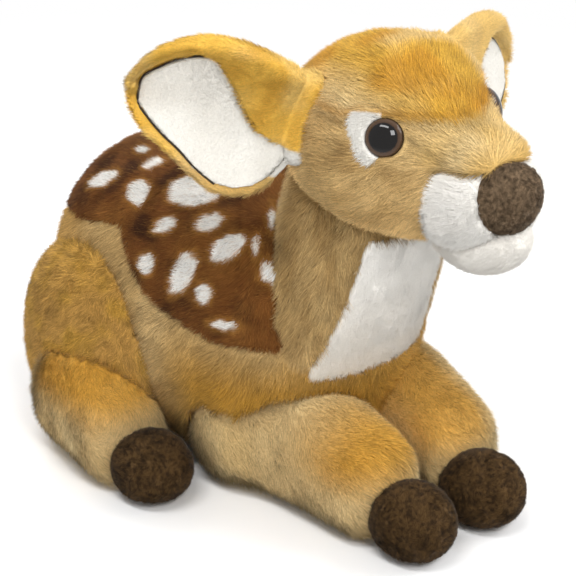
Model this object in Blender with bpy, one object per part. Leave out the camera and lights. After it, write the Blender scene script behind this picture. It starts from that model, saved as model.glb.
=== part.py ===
"""Plush fawn lying down, front legs stretched forward.

The toy faces -Y with its right side at -X. It rests on z = 0 on its belly, legs
and hooves. Lengths are in metres.
"""

import math

import bmesh
import bpy
import numpy as np
from mathutils import Matrix, Vector

# Clearances and depths
SEAM_GAP = 0.0003
SEAT_GAP = 0.0006
FLOOR_CUT = 0.0005
FUR_SHEET = 0.0026
FUR_PROUD = 0.0008

# Torso
TORSO_REAR = 0.103
TORSO_LENGTH = 0.211
TORSO_HALF_WIDTH = 0.0730
TORSO_HEIGHT = 0.161
TORSO_FRONT = TORSO_LENGTH - TORSO_REAR

# Neck and chest
NECK_FOOT = 0.045
NECK_HEIGHT = 0.153
NECK_LEAD = 0.0350
NECK_REACH = TORSO_FRONT + NECK_LEAD
NECK_DEPTH = 0.1430
NECK_HALF_WIDTH = 0.0515

# Head with its snout
HEAD_SETBACK = 0.0398
HEAD_SINK = 0.0407
HEAD_LENGTH = 0.1276
HEAD_BASE = NECK_FOOT + NECK_HEIGHT - HEAD_SINK
HEAD_HEIGHT = 0.0900
HEAD_HALF_WIDTH = 0.0490
HEAD_BACK = TORSO_FRONT - HEAD_SETBACK
HEAD_FRONT = HEAD_BACK + HEAD_LENGTH

# Muzzle, chin and nose
MUZZLE_SETBACK = 0.0358
MUZZLE_BACK = HEAD_FRONT - MUZZLE_SETBACK
MUZZLE_LENGTH = 0.0400
MUZZLE_RISE = 0.0057
MUZZLE_BASE = HEAD_BASE + MUZZLE_RISE
MUZZLE_HEIGHT = 0.0430
MUZZLE_HALF_WIDTH = 0.0305
MUZZLE_SEAM_SETBACK = 0.0248
MUZZLE_SEAM_REACH = HEAD_FRONT - MUZZLE_SEAM_SETBACK
MUZZLE_SEAM_RISE = 0.0457
MUZZLE_SEAM_HEIGHT = HEAD_BASE + MUZZLE_SEAM_RISE
CHIN_SETBACK = 0.0163
CHIN_REACH = HEAD_FRONT - CHIN_SETBACK
CHIN_RISE = 0.0099
CHIN_HEIGHT = HEAD_BASE + CHIN_RISE
CHIN_HALVES = (0.0215, 0.0235, 0.0165)
NOSE_SETBACK = 0.0018
NOSE_REACH = HEAD_FRONT - NOSE_SETBACK
NOSE_RISE = 0.0322
NOSE_HEIGHT = HEAD_BASE + NOSE_RISE
NOSE_HALVES = (0.0186, 0.0122, 0.0165)

# Safety eyes
EYE_RADIUS = 0.0090
EYE_DEPTH = 0.0056
EYE_INSET = 0.0151
EYE_SIDE = HEAD_HALF_WIDTH - EYE_INSET
EYE_SETBACK = 0.0471
EYE_REACH = HEAD_FRONT - EYE_SETBACK
EYE_RISE = 0.0565
EYE_HEIGHT = HEAD_BASE + EYE_RISE
STEM_RADIUS = 0.0022
STEM_LENGTH = 0.0150
WASHER_RADIUS = 0.0095
WASHER_THICKNESS = 0.0020
WASHER_DEPTH = 0.0080
EYE_RIM = 0.0008

# Ears
EAR_INSET = 0.0055
EAR_SIDE = HEAD_HALF_WIDTH - EAR_INSET
EAR_FORWARD = 0.0368
EAR_REACH = HEAD_BACK + EAR_FORWARD
EAR_RISE = 0.0557
EAR_HEIGHT = HEAD_BASE + EAR_RISE
EAR_LENGTH = 0.0820
EAR_UPPER = 0.0310
EAR_LOWER = 0.0400
EAR_SHEET = 0.0050
EAR_CUP = 0.0130
EAR_FOLD_LIFT = 0.0085
EAR_LINING_SHEET = 0.0020
EAR_LINING_INSET = 0.0040
EAR_ROLL_RADIUS = 0.0075
EAR_ROLL_HALF = 0.0150

# Front legs
LEG_SIDE = 0.0374
LEG_SETBACK = 0.0585
LEG_ROOT = TORSO_FRONT - LEG_SETBACK
LEG_RUN = 0.1015
LEG_REACH = LEG_ROOT + LEG_RUN
LEG_HALF_WIDTH = 0.0270
LEG_HEIGHT = 0.0605
HOOF_DRIFT = 0.0134
HOOF_SIDE = LEG_SIDE - HOOF_DRIFT
HOOF_LEAD = 0.0130
HOOF_REACH = LEG_REACH + HOOF_LEAD
HOOF_HALVES = (0.0195, 0.0225, 0.0185)

# Hind legs
HAUNCH_SINK = 0.0120
HAUNCH_SIDE = TORSO_HALF_WIDTH - HAUNCH_SINK
HAUNCH_SETBACK = 0.0680
HAUNCH_REAR = TORSO_REAR - HAUNCH_SETBACK
HAUNCH_HEIGHT = 0.0530
HAUNCH_HALVES = (0.0350, 0.0545, 0.0615)
HIND_OUTSET = 0.0180
HIND_SIDE = HAUNCH_SIDE + HIND_OUTSET
HIND_SETBACK = 0.0440
HIND_REAR = TORSO_REAR - HIND_SETBACK
HIND_LENGTH = 0.0840
HIND_HALF_WIDTH = 0.0262
HIND_HEIGHT = 0.0670
HIND_HOOF_OUTSET = 0.0080
HIND_HOOF_SIDE = HIND_SIDE + HIND_HOOF_OUTSET
HIND_HOOF_LEAD = 0.0120
HIND_HOOF_REACH = HIND_LENGTH - HIND_REAR + HIND_HOOF_LEAD
HIND_HOOF_HALVES = (0.0198, 0.0220, 0.0178)
LEFT_HIND_SETBACK = 0.0100

# Tail
TAIL_SETBACK = 0.0070
TAIL_REAR = TORSO_REAR - TAIL_SETBACK
TAIL_ROOT_HEIGHT = 0.1000
TAIL_ROOT_RADIUS = 0.0120
TAIL_LENGTH = 0.0560
TAIL_HALF_WIDTH = 0.0150

# Turning ranges and slants, in degrees
LEG_SPLAY = 12
TAIL_SWING = 20
EAR_TURN = 20
EAR_TILTS = (0, -11)
TAIL_DROOP = 52

# Torso rows: along, underside, back line, half width
TORSO_SHARES = (
    (0.00, 0.080, 0.76, 0.81),
    (0.16, 0.012, 0.93, 0.94),
    (0.33, 0.000, 0.98, 1.00),
    (0.55, 0.000, 1.00, 1.00),
    (0.78, 0.000, 0.98, 0.91),
    (1.00, 0.030, 0.88, 0.73),
)
TORSO_CAP_SHARES = (0.20, 0.17)

# Neck rows: up, front line, back line, half width
NECK_SHARES = (
    (0.00, 0.65, 0.28, 0.77),
    (0.20, 0.76, 0.28, 1.00),
    (0.42, 0.86, 0.32, 0.96),
    (0.65, 0.94, 0.41, 0.81),
    (0.83, 0.98, 0.46, 0.73),
    (1.00, 1.00, 0.53, 0.69),
)
NECK_CAP_SHARES = (0.14, 0.10)

# Head rows: along, jaw line, crown line, half width
HEAD_SHARES = (
    (0.00, 0.19, 0.88, 0.92),
    (0.24, 0.04, 0.97, 1.00),
    (0.46, 0.00, 0.99, 1.03),
    (0.63, 0.02, 0.85, 0.80),
    (0.80, 0.10, 0.69, 0.56),
    (1.00, 0.19, 0.64, 0.49),
)
HEAD_CAP_SHARES = (0.32, 0.12)

# Muzzle rows: along, underside, top, half width
MUZZLE_SHARES = (
    (0.00, 0.00, 1.00, 1.05),
    (0.40, 0.00, 1.00, 1.00),
    (1.00, 0.08, 0.92, 0.88),
)
MUZZLE_CAP_SHARES = (0.10, 0.42)

# Front leg rows: along, inward drift right, inward drift left, height, half width
LEG_SHARES = (
    (0.00, 0.00, -0.30, 1.00, 1.00),
    (0.24, 0.00, -0.30, 1.10, 1.00),
    (0.50, 0.90, 0.00, 1.10, 1.00),
    (0.78, 1.00, 0.20, 0.93, 0.93),
    (1.00, 0.95, 0.60, 0.76, 0.87),
)
LEG_CAP_SHARES = (0.225, 0.10)

# Hind leg rows: along, outward drift, height, half width
HIND_SHARES = (
    (0.00, 0.00, 0.88, 0.92),
    (0.40, 0.20, 1.00, 1.00),
    (0.74, 0.70, 0.90, 0.98),
    (1.00, 1.00, 0.66, 0.86),
)
HIND_CAP_SHARES = (0.30, 0.10)

# Tail rows: along, half width
TAIL_SHARES = (
    (0.00, 0.80),
    (0.22, 0.80),
    (0.60, 1.00),
    (1.00, 0.45),
)
TAIL_CAP_SHARES = (0.215, 0.30)

# Saddle outline seen from the side: along the torso from the rear, up
SADDLE_OUTLINE_SHARES = (
    (-0.10, 0.72),
    (0.30, 0.76),
    (0.42, 0.80),
    (0.50, 0.69),
    (0.62, 0.61),
    (0.78, 0.57),
    (0.93, 0.57),
    (0.96, 0.85),
    (0.98, 1.20),
    (-0.10, 1.20),
)

# Chest panel outline seen from the front: across, up
CHEST_OUTLINE_SHARES = (
    (0.48, 0.72),
    (0.58, 0.46),
    (0.74, 0.13),
    (0.40, 0.09),
)

# Direction that the eyes face: outward, back, up
EYE_LEAN_SHARES = (0.75, -0.52, 0.34)

# Direction that each ear points, right then left: outward, back, up
EAR_LEAN_SHARES = (
    (0.85, 0.46, 0.22),
    (0.91, 0.31, -0.24),
)

# Depth of each ear's cup and height of its upper edge, right then left
EAR_CUP_SHARES = (1.00, 0.35)
EAR_UPPER_SHARES = (1.00, 0.90)

# Ear outline rows: along, upper edge, lower edge, fold reach
EAR_SHARES = (
    (0.03, 0.58, 0.52, 0.74),
    (0.15, 0.74, 0.84, 0.62),
    (0.30, 0.88, 0.98, 0.48),
    (0.45, 0.98, 0.95, 0.27),
    (0.58, 1.00, 0.80, 0.11),
    (0.70, 0.96, 0.62, 0.05),
    (0.82, 0.82, 0.47, 0.05),
    (0.92, 0.62, 0.33, 0.05),
    (0.98, 0.40, 0.14, 0.05),
    (1.00, 0.24, 0.00, 0.05),
)

# Ear lining rows: along, width
EAR_LINING_SHARES = (
    (0.03, 0.70),
    (0.10, 0.92),
    (0.30, 1.00),
    (0.60, 1.00),
    (0.80, 0.95),
    (0.90, 0.80),
    (0.96, 0.55),
)

# Eye patch outline round the eye, in eye radii: back, up
PATCH_OUTLINE_SHARES = (
    (0.30, 1.35),
    (1.05, 1.45),
    (2.00, 1.15),
    (1.75, 0.10),
    (1.20, -1.00),
    (0.75, -1.50),
    (0.20, -1.00),
)

RIGHT = -1
LEFT = 1

FUR_TAN = (0.58, 0.36, 0.15, 1.0)
FUR_GOLD = (0.62, 0.37, 0.12, 1.0)
FUR_WHITE = (0.86, 0.85, 0.81, 1.0)
FUR_BROWN = (0.10, 0.04, 0.015, 1.0)
PLUSH_DARK = (0.045, 0.028, 0.016, 1.0)
PLUSH_NOSE = (0.075, 0.060, 0.050, 1.0)
EYE_BROWN = (0.010, 0.006, 0.004, 1.0)
WASHER_WHITE = (0.70, 0.70, 0.68, 1.0)


def clear_scene():
    for thing in list(bpy.data.objects):
        bpy.data.objects.remove(thing, do_unlink=True)


def give_material(thing, colour, roughness):
    material = bpy.data.materials.new(thing.name + "_material")
    material.use_nodes = True
    shader = material.node_tree.nodes["Principled BSDF"]
    shader.inputs["Base Color"].default_value = colour
    shader.inputs["Roughness"].default_value = roughness
    thing.data.materials.append(material)


def mesh_object(name, points, faces, smooth=True):
    mesh = bpy.data.meshes.new(name)
    mesh.from_pydata([tuple(p) for p in points], [], faces)
    shape = bmesh.new()
    shape.from_mesh(mesh)
    bmesh.ops.recalc_face_normals(shape, faces=shape.faces[:])
    if shape.calc_volume(signed=True) < 0:
        bmesh.ops.reverse_faces(shape, faces=shape.faces[:])
    shape.to_mesh(mesh)
    shape.free()
    for face in mesh.polygons:
        face.use_smooth = smooth
    thing = bpy.data.objects.new(name, mesh)
    bpy.context.scene.collection.objects.link(thing)
    return thing


def as_cutter(thing):
    thing.hide_render = True
    thing.display_type = "WIRE"
    return thing


def combine(thing, other, operation):
    modifier = thing.modifiers.new(operation.lower(), "BOOLEAN")
    modifier.operation = operation
    modifier.solver = "EXACT"
    modifier.object = as_cutter(other)


def cut(thing, *others):
    for other in others:
        combine(thing, other, "DIFFERENCE")


def keep_within(thing, other):
    combine(thing, other, "INTERSECT")


def smooth_rows(rows, count):
    """Rows interpolated by a monotone cubic at evenly crowded ends."""
    table = np.array(rows, float)
    along = table[:, 0]
    ease = 0.5 - 0.5 * np.cos(np.linspace(0, math.pi, count + 1))
    wanted = along[0] + (along[-1] - along[0]) * ease
    result = [wanted]
    for column in table[:, 1:].T:
        steps = np.diff(along)
        slopes = np.diff(column) / steps
        tangents = np.zeros(len(column))
        for k in range(1, len(column) - 1):
            if slopes[k - 1] * slopes[k] > 0:
                harmonic = 2 * slopes[k - 1] * slopes[k] / (slopes[k - 1] + slopes[k])
                tangents[k] = harmonic
        tangents[0] = slopes[0]
        tangents[-1] = slopes[-1]
        place = np.clip(np.searchsorted(along, wanted, "right") - 1, 0, len(steps) - 1)
        t = (wanted - along[place]) / steps[place]
        value = (
            (2 * t**3 - 3 * t**2 + 1) * column[place]
            + (t**3 - 2 * t**2 + t) * steps[place] * tangents[place]
            + (3 * t**2 - 2 * t**3) * column[place + 1]
            + (t**3 - t**2) * steps[place] * tangents[place + 1]
        )
        result.append(value)
    return np.array(result).T


def cap_factor(share, caps):
    factor = 1.0
    if share < caps[0]:
        factor = math.sqrt(max(0.0, 1 - (1 - share / caps[0]) ** 2))
    elif share > 1 - caps[1]:
        factor = math.sqrt(max(0.0, 1 - (1 - (1 - share) / caps[1]) ** 2))
    return factor


def rounded_loft(name, rows, caps, rings, segments, grow=0.0, squareness=2.0):
    """Closed stuffed form from rows of along, side, half width, low, high.

    Sections stand across the first column. The ends round off over the caps.
    """
    table = smooth_rows([(k[0], *k[1:]) for k in rows], rings)
    start, end = table[0, 0], table[-1, 0]
    run = abs(end - start)
    sign = 1 if end > start else -1
    points = []
    for along, side, half, low, high in table[1:-1]:
        share = abs(along - start) / run
        factor = cap_factor(share, caps)
        middle = (low + high) / 2
        tall = (high - low) / 2 * factor + grow
        wide = half * factor + grow
        stretched = along + sign * grow * (2 * share - 1)
        for k in range(segments):
            angle = 2 * math.pi * k / segments
            c, s = math.cos(angle), math.sin(angle)
            power = 2 / squareness
            across = math.copysign(abs(c) ** power, c)
            upward = math.copysign(abs(s) ** power, s)
            points.append((side + wide * across, stretched, middle + tall * upward))
    first = (table[0, 1], start - sign * grow, (table[0, 3] + table[0, 4]) / 2)
    last = (table[-1, 1], end + sign * grow, (table[-1, 3] + table[-1, 4]) / 2)
    points += [first, last]
    inner = rings - 1
    faces = []
    for ring in range(inner - 1):
        for k in range(segments):
            nxt = (k + 1) % segments
            low_row, high_row = ring * segments, (ring + 1) * segments
            faces.append((low_row + k, low_row + nxt, high_row + nxt, high_row + k))
    for k in range(segments):
        nxt = (k + 1) % segments
        faces.append((inner * segments, nxt, k))
        far = (inner - 1) * segments
        faces.append((inner * segments + 1, far + k, far + nxt))
    return mesh_object(name, points, faces)


def change_points(thing, matrix):
    thing.data.transform(matrix)
    if matrix.determinant() < 0:
        thing.data.flip_normals()
    return thing


def lump(name, centre, halves, rings, segments, grow=0.0, squareness=2.0, blunt=2.0):
    """Stuffed ball with three half sizes, poles on Y."""
    power = 2 / squareness
    end_power = 2 / blunt
    points = []
    for ring in range(1, rings):
        polar = math.pi * ring / rings
        belt = math.sin(polar) ** end_power
        reach = math.copysign(abs(math.cos(polar)) ** end_power, math.cos(polar))
        for k in range(segments):
            angle = 2 * math.pi * k / segments
            c, s = math.cos(angle), math.sin(angle)
            across = math.copysign(abs(c) ** power, c) * belt
            upward = math.copysign(abs(s) ** power, s) * belt
            points.append(
                (
                    centre[0] + (halves[0] + grow) * across,
                    centre[1] + (halves[1] + grow) * reach,
                    centre[2] + (halves[2] + grow) * upward,
                )
            )
    points.append((centre[0], centre[1] + halves[1] + grow, centre[2]))
    points.append((centre[0], centre[1] - halves[1] - grow, centre[2]))
    faces = []
    belts = rings - 1
    for ring in range(belts - 1):
        for k in range(segments):
            nxt = (k + 1) % segments
            low_row, high_row = ring * segments, (ring + 1) * segments
            faces.append((low_row + k, low_row + nxt, high_row + nxt, high_row + k))
    for k in range(segments):
        nxt = (k + 1) % segments
        faces.append((belts * segments, nxt, k))
        far = (belts - 1) * segments
        faces.append((belts * segments + 1, far + k, far + nxt))
    return mesh_object(name, points, faces)


def prism(name, outline, along_axis, low, high):
    """Flat outline pushed from low to high along X, Y or Z."""
    points = []
    for level in (low, high):
        for a, b in outline:
            if along_axis == "X":
                points.append((level, a, b))
            elif along_axis == "Y":
                points.append((a, level, b))
            else:
                points.append((a, b, level))
    count = len(outline)
    faces = [tuple(range(count)), tuple(range(2 * count - 1, count - 1, -1))]
    for k in range(count):
        nxt = (k + 1) % count
        faces.append((k, nxt, count + nxt, count + k))
    return mesh_object(name, points, faces, smooth=False)


def turned_form(name, profile, segments, place):
    """Form turned about the local Z axis from rows of radius and height."""
    points = []
    for radius, height in profile[1:-1]:
        for k in range(segments):
            angle = 2 * math.pi * k / segments
            points.append((radius * math.cos(angle), radius * math.sin(angle), height))
    points.append((0.0, 0.0, profile[0][1]))
    points.append((0.0, 0.0, profile[-1][1]))
    rows = len(profile) - 2
    faces = []
    for row in range(rows - 1):
        for k in range(segments):
            nxt = (k + 1) % segments
            low_row, high_row = row * segments, (row + 1) * segments
            faces.append((low_row + k, low_row + nxt, high_row + nxt, high_row + k))
    for k in range(segments):
        nxt = (k + 1) % segments
        faces.append((rows * segments, nxt, k))
        far = (rows - 1) * segments
        faces.append((rows * segments + 1, far + k, far + nxt))
    return change_points(mesh_object(name, points, faces), place)


def grown_outline(outline, distance):
    """The outline with every edge moved outward by a distance."""
    corners = [np.array(point, float) for point in outline]
    count = len(corners)
    area = 0.0
    for k in range(count):
        here, after = corners[k], corners[(k + 1) % count]
        area += here[0] * after[1] - after[0] * here[1]
    turn = 1 if area > 0 else -1
    normals = []
    for k in range(count):
        edge = corners[(k + 1) % count] - corners[k]
        edge /= np.linalg.norm(edge)
        normals.append(np.array((edge[1], -edge[0])) * turn)
    grown = []
    for k in range(count):
        before, after = normals[k - 1], normals[k]
        shift = (before + after) / (1 + float(before @ after))
        grown.append(tuple(corners[k] + shift * distance))
    return grown


def floor_cutter():
    size = TORSO_LENGTH * 2
    outline = [(-size, -size), (size, -size), (size, size), (-size, size)]
    return prism("floor_cutter", outline, "Z", -size, 0.0)


def turn_about(point, axis, degrees):
    spin = Matrix.Rotation(math.radians(degrees), 4, axis)
    return Matrix.Translation(point) @ spin @ Matrix.Translation(-Vector(point))


# Forms that are used both as pieces and as cutters


def torso_form(name, grow=0.0):
    rows = []
    for along, under, back, wide in TORSO_SHARES:
        rows.append(
            (
                TORSO_REAR - along * TORSO_LENGTH,
                0.0,
                wide * TORSO_HALF_WIDTH,
                under * TORSO_HEIGHT - FLOOR_CUT,
                back * TORSO_HEIGHT,
            )
        )
    table = [(-row[0], *row[1:]) for row in rows]
    thing = rounded_loft(name, table, TORSO_CAP_SHARES, 20, 32, grow, 2.4)
    return change_points(thing, Matrix.Scale(-1, 4, (0, 1, 0)))


def neck_form(name, grow=0.0):
    rows = []
    for up, front, back, wide in NECK_SHARES:
        rows.append(
            (
                NECK_FOOT + up * NECK_HEIGHT,
                0.0,
                wide * NECK_HALF_WIDTH,
                NECK_REACH - (1 - back) * NECK_DEPTH,
                NECK_REACH - (1 - front) * NECK_DEPTH,
            )
        )
    thing = rounded_loft(name, rows, NECK_CAP_SHARES, 16, 28, grow, 2.1)
    swap = Matrix(((1, 0, 0, 0), (0, 0, -1, 0), (0, 1, 0, 0), (0, 0, 0, 1)))
    return change_points(thing, swap)


def head_form(name, grow=0.0):
    rows = []
    for along, jaw, crown, wide in HEAD_SHARES:
        rows.append(
            (
                HEAD_BACK + along * HEAD_LENGTH,
                0.0,
                wide * HEAD_HALF_WIDTH,
                HEAD_BASE + jaw * HEAD_HEIGHT,
                HEAD_BASE + crown * HEAD_HEIGHT,
            )
        )
    thing = rounded_loft(name, rows, HEAD_CAP_SHARES, 18, 28, grow, 2.1)
    return change_points(thing, Matrix.Scale(-1, 4, (0, 1, 0)))


def muzzle_form(name, grow=0.0):
    rows = []
    for along, under, top, wide in MUZZLE_SHARES:
        rows.append(
            (
                MUZZLE_BACK + along * MUZZLE_LENGTH,
                0.0,
                wide * MUZZLE_HALF_WIDTH,
                MUZZLE_BASE + under * MUZZLE_HEIGHT,
                MUZZLE_BASE + top * MUZZLE_HEIGHT,
            )
        )
    thing = rounded_loft(name, rows, MUZZLE_CAP_SHARES, 14, 28, grow, 2.4)
    return change_points(thing, Matrix.Scale(-1, 4, (0, 1, 0)))


def muzzle_seam(name, grow):
    """Block below and ahead of the seam between head and muzzle."""
    back = grow - MUZZLE_SEAM_REACH
    top = MUZZLE_SEAM_HEIGHT + grow
    outline = [(back, 0.0), (back, top), (-HEAD_BACK * 4, top), (-HEAD_BACK * 4, 0.0)]
    return prism(name, outline, "X", -HEAD_HALF_WIDTH * 2, HEAD_HALF_WIDTH * 2)


def leg_rows(side, spread):
    """Rows of a front leg; spread widens them outward, ahead of the root."""
    drift = LEG_SIDE - HOOF_SIDE
    rear = LEG_ROOT - LEG_HALF_WIDTH
    length = LEG_REACH - rear
    rows = []
    for along, right_drift, left_drift, tall, wide in LEG_SHARES:
        inward = right_drift if side == RIGHT else left_drift
        station = rear + along * length
        extra = max(0.0, station - LEG_ROOT) * spread / 2
        rows.append(
            (
                station,
                side * (LEG_SIDE - inward * drift + extra),
                wide * LEG_HALF_WIDTH + extra,
                -FLOOR_CUT,
                tall * LEG_HEIGHT,
            )
        )
    return rows


def leg_root(side):
    """Centre of the round root that a front leg turns about."""
    drift = LEG_SHARES[0][1] if side == RIGHT else LEG_SHARES[0][2]
    return (side * (LEG_SIDE - drift * (LEG_SIDE - HOOF_SIDE)), -LEG_ROOT, LEG_HEIGHT / 2)


def leg_form(name, side, grow=0.0):
    thing = rounded_loft(name, leg_rows(side, 0.0), LEG_CAP_SHARES, 16, 26, grow, 2.1)
    return change_points(thing, Matrix.Scale(-1, 4, (0, 1, 0)))


def leg_room_form(name, side):
    """Room that a front leg takes up over its whole splay."""
    spread = math.tan(math.radians(LEG_SPLAY))
    rows = leg_rows(side, spread)
    thing = rounded_loft(name, rows, LEG_CAP_SHARES, 16, 26, SEAT_GAP * 1.4, 2.5)
    return change_points(thing, Matrix.Scale(-1, 4, (0, 1, 0)))


def hoof_form(name, side, grow=0.0):
    centre = (side * HOOF_SIDE, -HOOF_REACH, HOOF_HALVES[2] - FLOOR_CUT)
    return lump(name, centre, HOOF_HALVES, 12, 22, grow, 2.25)


def haunch_form(name, side, grow=0.0):
    centre = (side * HAUNCH_SIDE, HAUNCH_REAR, HAUNCH_HEIGHT)
    return lump(name, centre, HAUNCH_HALVES, 14, 26, grow, 2.1)


def hind_setback(side):
    return LEFT_HIND_SETBACK if side == LEFT else 0.0


def hind_form(name, side, grow=0.0):
    drift = HIND_HOOF_SIDE - HIND_SIDE
    rows = []
    for along, outward, tall, wide in HIND_SHARES:
        rows.append(
            (
                along * HIND_LENGTH - HIND_REAR - hind_setback(side),
                side * (HIND_SIDE + outward * drift),
                wide * HIND_HALF_WIDTH,
                -FLOOR_CUT,
                tall * HIND_HEIGHT,
            )
        )
    thing = rounded_loft(name, rows, HIND_CAP_SHARES, 14, 24, grow, 2.1)
    return change_points(thing, Matrix.Scale(-1, 4, (0, 1, 0)))


def hind_hoof_form(name, side, grow=0.0):
    centre = (
        side * HIND_HOOF_SIDE,
        hind_setback(side) - HIND_HOOF_REACH,
        HIND_HOOF_HALVES[2] - FLOOR_CUT,
    )
    return lump(name, centre, HIND_HOOF_HALVES, 12, 22, grow, 2.25)


def tail_form(name, grow=0.0, spread=0.0, squareness=2.0):
    """Tail; spread widens it up and down, beyond its root."""
    rows = []
    for along, wide in TAIL_SHARES:
        station = along * TAIL_LENGTH - TAIL_ROOT_RADIUS
        half = wide * TAIL_HALF_WIDTH
        tall = half + max(0.0, station) * spread
        rows.append((station, 0.0, half, -tall, tall))
    thing = rounded_loft(name, rows, TAIL_CAP_SHARES, 12, 20, grow, squareness)
    root = Vector((0, TAIL_REAR, TAIL_ROOT_HEIGHT))
    change_points(thing, Matrix.Translation(root))
    return change_points(thing, turn_about(root, "X", -TAIL_DROOP))


# Ear, built in a local frame: x along the ear, y towards the upper edge, z out of
# the lined face, origin on the sewn root


def of_side(pair, side):
    return pair[0] if side == RIGHT else pair[1]


def ear_place(side):
    lean = of_side(EAR_LEAN_SHARES, side)
    tilt = math.radians(of_side(EAR_TILTS, side))
    along = Vector((side * lean[0], lean[1], lean[2])).normalized()
    upper = (Vector((0, 0, 1)) - along * along.z).normalized()
    face = along.cross(upper)
    if face.y > 0:
        face = -face
    upper, face = (
        upper * math.cos(tilt) + face * math.sin(tilt),
        face * math.cos(tilt) - upper * math.sin(tilt),
    )
    root = Vector((side * EAR_SIDE, -EAR_REACH, EAR_HEIGHT))
    columns = Matrix((along, upper, face)).transposed()
    return Matrix.Translation(root) @ columns.to_4x4()


def ear_depth(across, along, side):
    """Depth of the cupped back sheet at a share across and a share along."""
    opening = 1 - max(0.0, 1 - along / 0.55) ** 2
    curl = across * across * (1 - 0.35 * along) * opening
    return EAR_CUP * of_side(EAR_CUP_SHARES, side) * (curl - 0.55 * along * along)


def ear_edges(upper, lower, side):
    return upper * EAR_UPPER * of_side(EAR_UPPER_SHARES, side), -lower * EAR_LOWER


def hooked_section(row, steps, side):
    """Section of the outer ear: back sheet, rolled upper rim and folded flap."""
    along, upper, lower, fold = row
    top, bottom = ear_edges(upper, lower, side)
    reach = top - bottom
    swell = 1 - 0.6 * max(0.0, 1 - along / 0.4) ** 2
    taper = max(0.0, along / 0.6 - 1) ** 2
    thick = EAR_SHEET * swell * (1 - 0.8 * taper)
    rim = EAR_FOLD_LIFT * swell * (1 - 1.8 * taper)

    def depth(y):
        return ear_depth(2 * (y - bottom) / reach - 1, along, side)

    back = []
    for k in range(steps + 1):
        y = bottom + reach * k / steps
        back.append((y, depth(y) - thick))
    turn = [
        (top + thick * 0.75, depth(top) + thick * 0.1),
        (top + thick * 0.80, depth(top) + rim * 0.55),
        (top + thick * 0.20, depth(top) + rim * 0.95),
    ]
    flap_outer, flap_inner = [], []
    flap_top = top - thick * 0.4
    flap_end = min(top - fold * reach, flap_top - thick * 0.35)
    flap_steps = 4
    for k in range(flap_steps + 1):
        y = flap_top + (flap_end - flap_top) * k / flap_steps
        lift = rim * (1 - 0.25 * k / flap_steps)
        edge = 0.12 if k == flap_steps else 0.0
        flap_outer.append((y, depth(y) + lift - rim * edge))
        flap_inner.append((y, depth(y) + lift * 0.60))
    front = []
    front_top = top - thick * 0.9
    for k in range(steps):
        y = front_top + (bottom - front_top) * k / (steps - 1)
        front.append((y, depth(y)))
    return back + turn + flap_outer + flap_inner[::-1] + front


def ear_outer_form(name, side, steps=10):
    sections = []
    for row in smooth_rows(EAR_SHARES, 13):
        ring = hooked_section(tuple(row), steps, side)
        sections.append([(row[0] * EAR_LENGTH, y, z) for y, z in ring])
    thing = sections_to_object(name, sections)
    return change_points(thing, ear_place(side))


def ear_lining_form(name, side, steps=10):
    """Lining, with its sections where the outer ear has them."""
    sections = []
    lining = np.array(EAR_LINING_SHARES)
    for along, upper, lower, _ in smooth_rows(EAR_SHARES, 13):
        if along < lining[0, 0] or along > lining[-1, 0]:
            continue
        width = np.interp(along, lining[:, 0], lining[:, 1])
        top, bottom = ear_edges(upper, lower, side)
        reach = top - bottom
        low_edge = bottom + EAR_LINING_INSET
        high_edge = top - EAR_SHEET * 1.4
        middle = (low_edge + high_edge) / 2
        half = (high_edge - low_edge) / 2 * width
        ring_low, ring_high = [], []
        for k in range(steps + 1):
            y = middle + half * (2 * k / steps - 1)
            base = ear_depth(2 * (y - bottom) / reach - 1, along, side) + SEAM_GAP
            ring_low.append((along * EAR_LENGTH, y, base))
            ring_high.append((along * EAR_LENGTH, y, base + EAR_LINING_SHEET))
        sections.append(ring_low + ring_high[::-1])
    thing = sections_to_object(name, sections)
    return change_points(thing, ear_place(side))


def sections_to_object(name, sections):
    count = len(sections[0])
    points = [p for section in sections for p in section]
    faces = []
    for s in range(len(sections) - 1):
        for k in range(count):
            nxt = (k + 1) % count
            low_row, high_row = s * count, (s + 1) * count
            faces.append((low_row + k, low_row + nxt, high_row + nxt, high_row + k))
    faces.append(tuple(range(count))[::-1])
    last = (len(sections) - 1) * count
    faces.append(tuple(range(last, last + count)))
    return mesh_object(name, points, faces)


def ear_roll_form(name, side, grow=0.0):
    """Rounded roll that the ear is sewn to, along the local upper axis."""
    radius = EAR_ROLL_RADIUS + grow
    half = EAR_ROLL_HALF
    profile = []
    for k in range(9):
        angle = math.pi * k / 8
        shift = -half if k < 4 else half
        profile.append((radius * math.sin(angle), shift - radius * math.cos(angle)))
    profile.insert(5, (radius, half))
    profile[4] = (radius, -half)
    lay = Matrix.Rotation(math.radians(-90), 4, "X")
    return turned_form(name, profile, 16, ear_place(side) @ lay)


def ear_room_form(name, side):
    """Room beside the roll for the root of the ear to turn in."""
    turn = math.radians(EAR_TURN * 1.12)
    reach = EAR_LENGTH * 0.4
    back = -EAR_SHEET * 0.9 - SEAT_GAP
    front = EAR_FOLD_LIFT * 0.8 + SEAT_GAP
    outline = [(0.0, 0.0)]
    for x, z, sign in ((0.0, back, -1), (reach, back, -1), (reach, front, 1), (0.0, front, 1)):
        c, s = math.cos(turn), math.sin(turn) * sign
        outline.append((x * c - z * s, x * s + z * c))
    thing = prism(name, outline, "Y", -EAR_LOWER * 0.77, EAR_UPPER * 0.74)
    return change_points(thing, ear_place(side))


def eye_place(side):
    lean = EYE_LEAN_SHARES
    outward = Vector((side * lean[0], lean[1], lean[2])).normalized()
    upper = (Vector((0, 0, 1)) - outward * outward.z).normalized()
    across = upper.cross(outward)
    columns = Matrix((across, upper, outward)).transposed()
    centre = Vector((side * EYE_SIDE, -EYE_REACH, EYE_HEIGHT))
    return Matrix.Translation(centre) @ columns.to_4x4()


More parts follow.
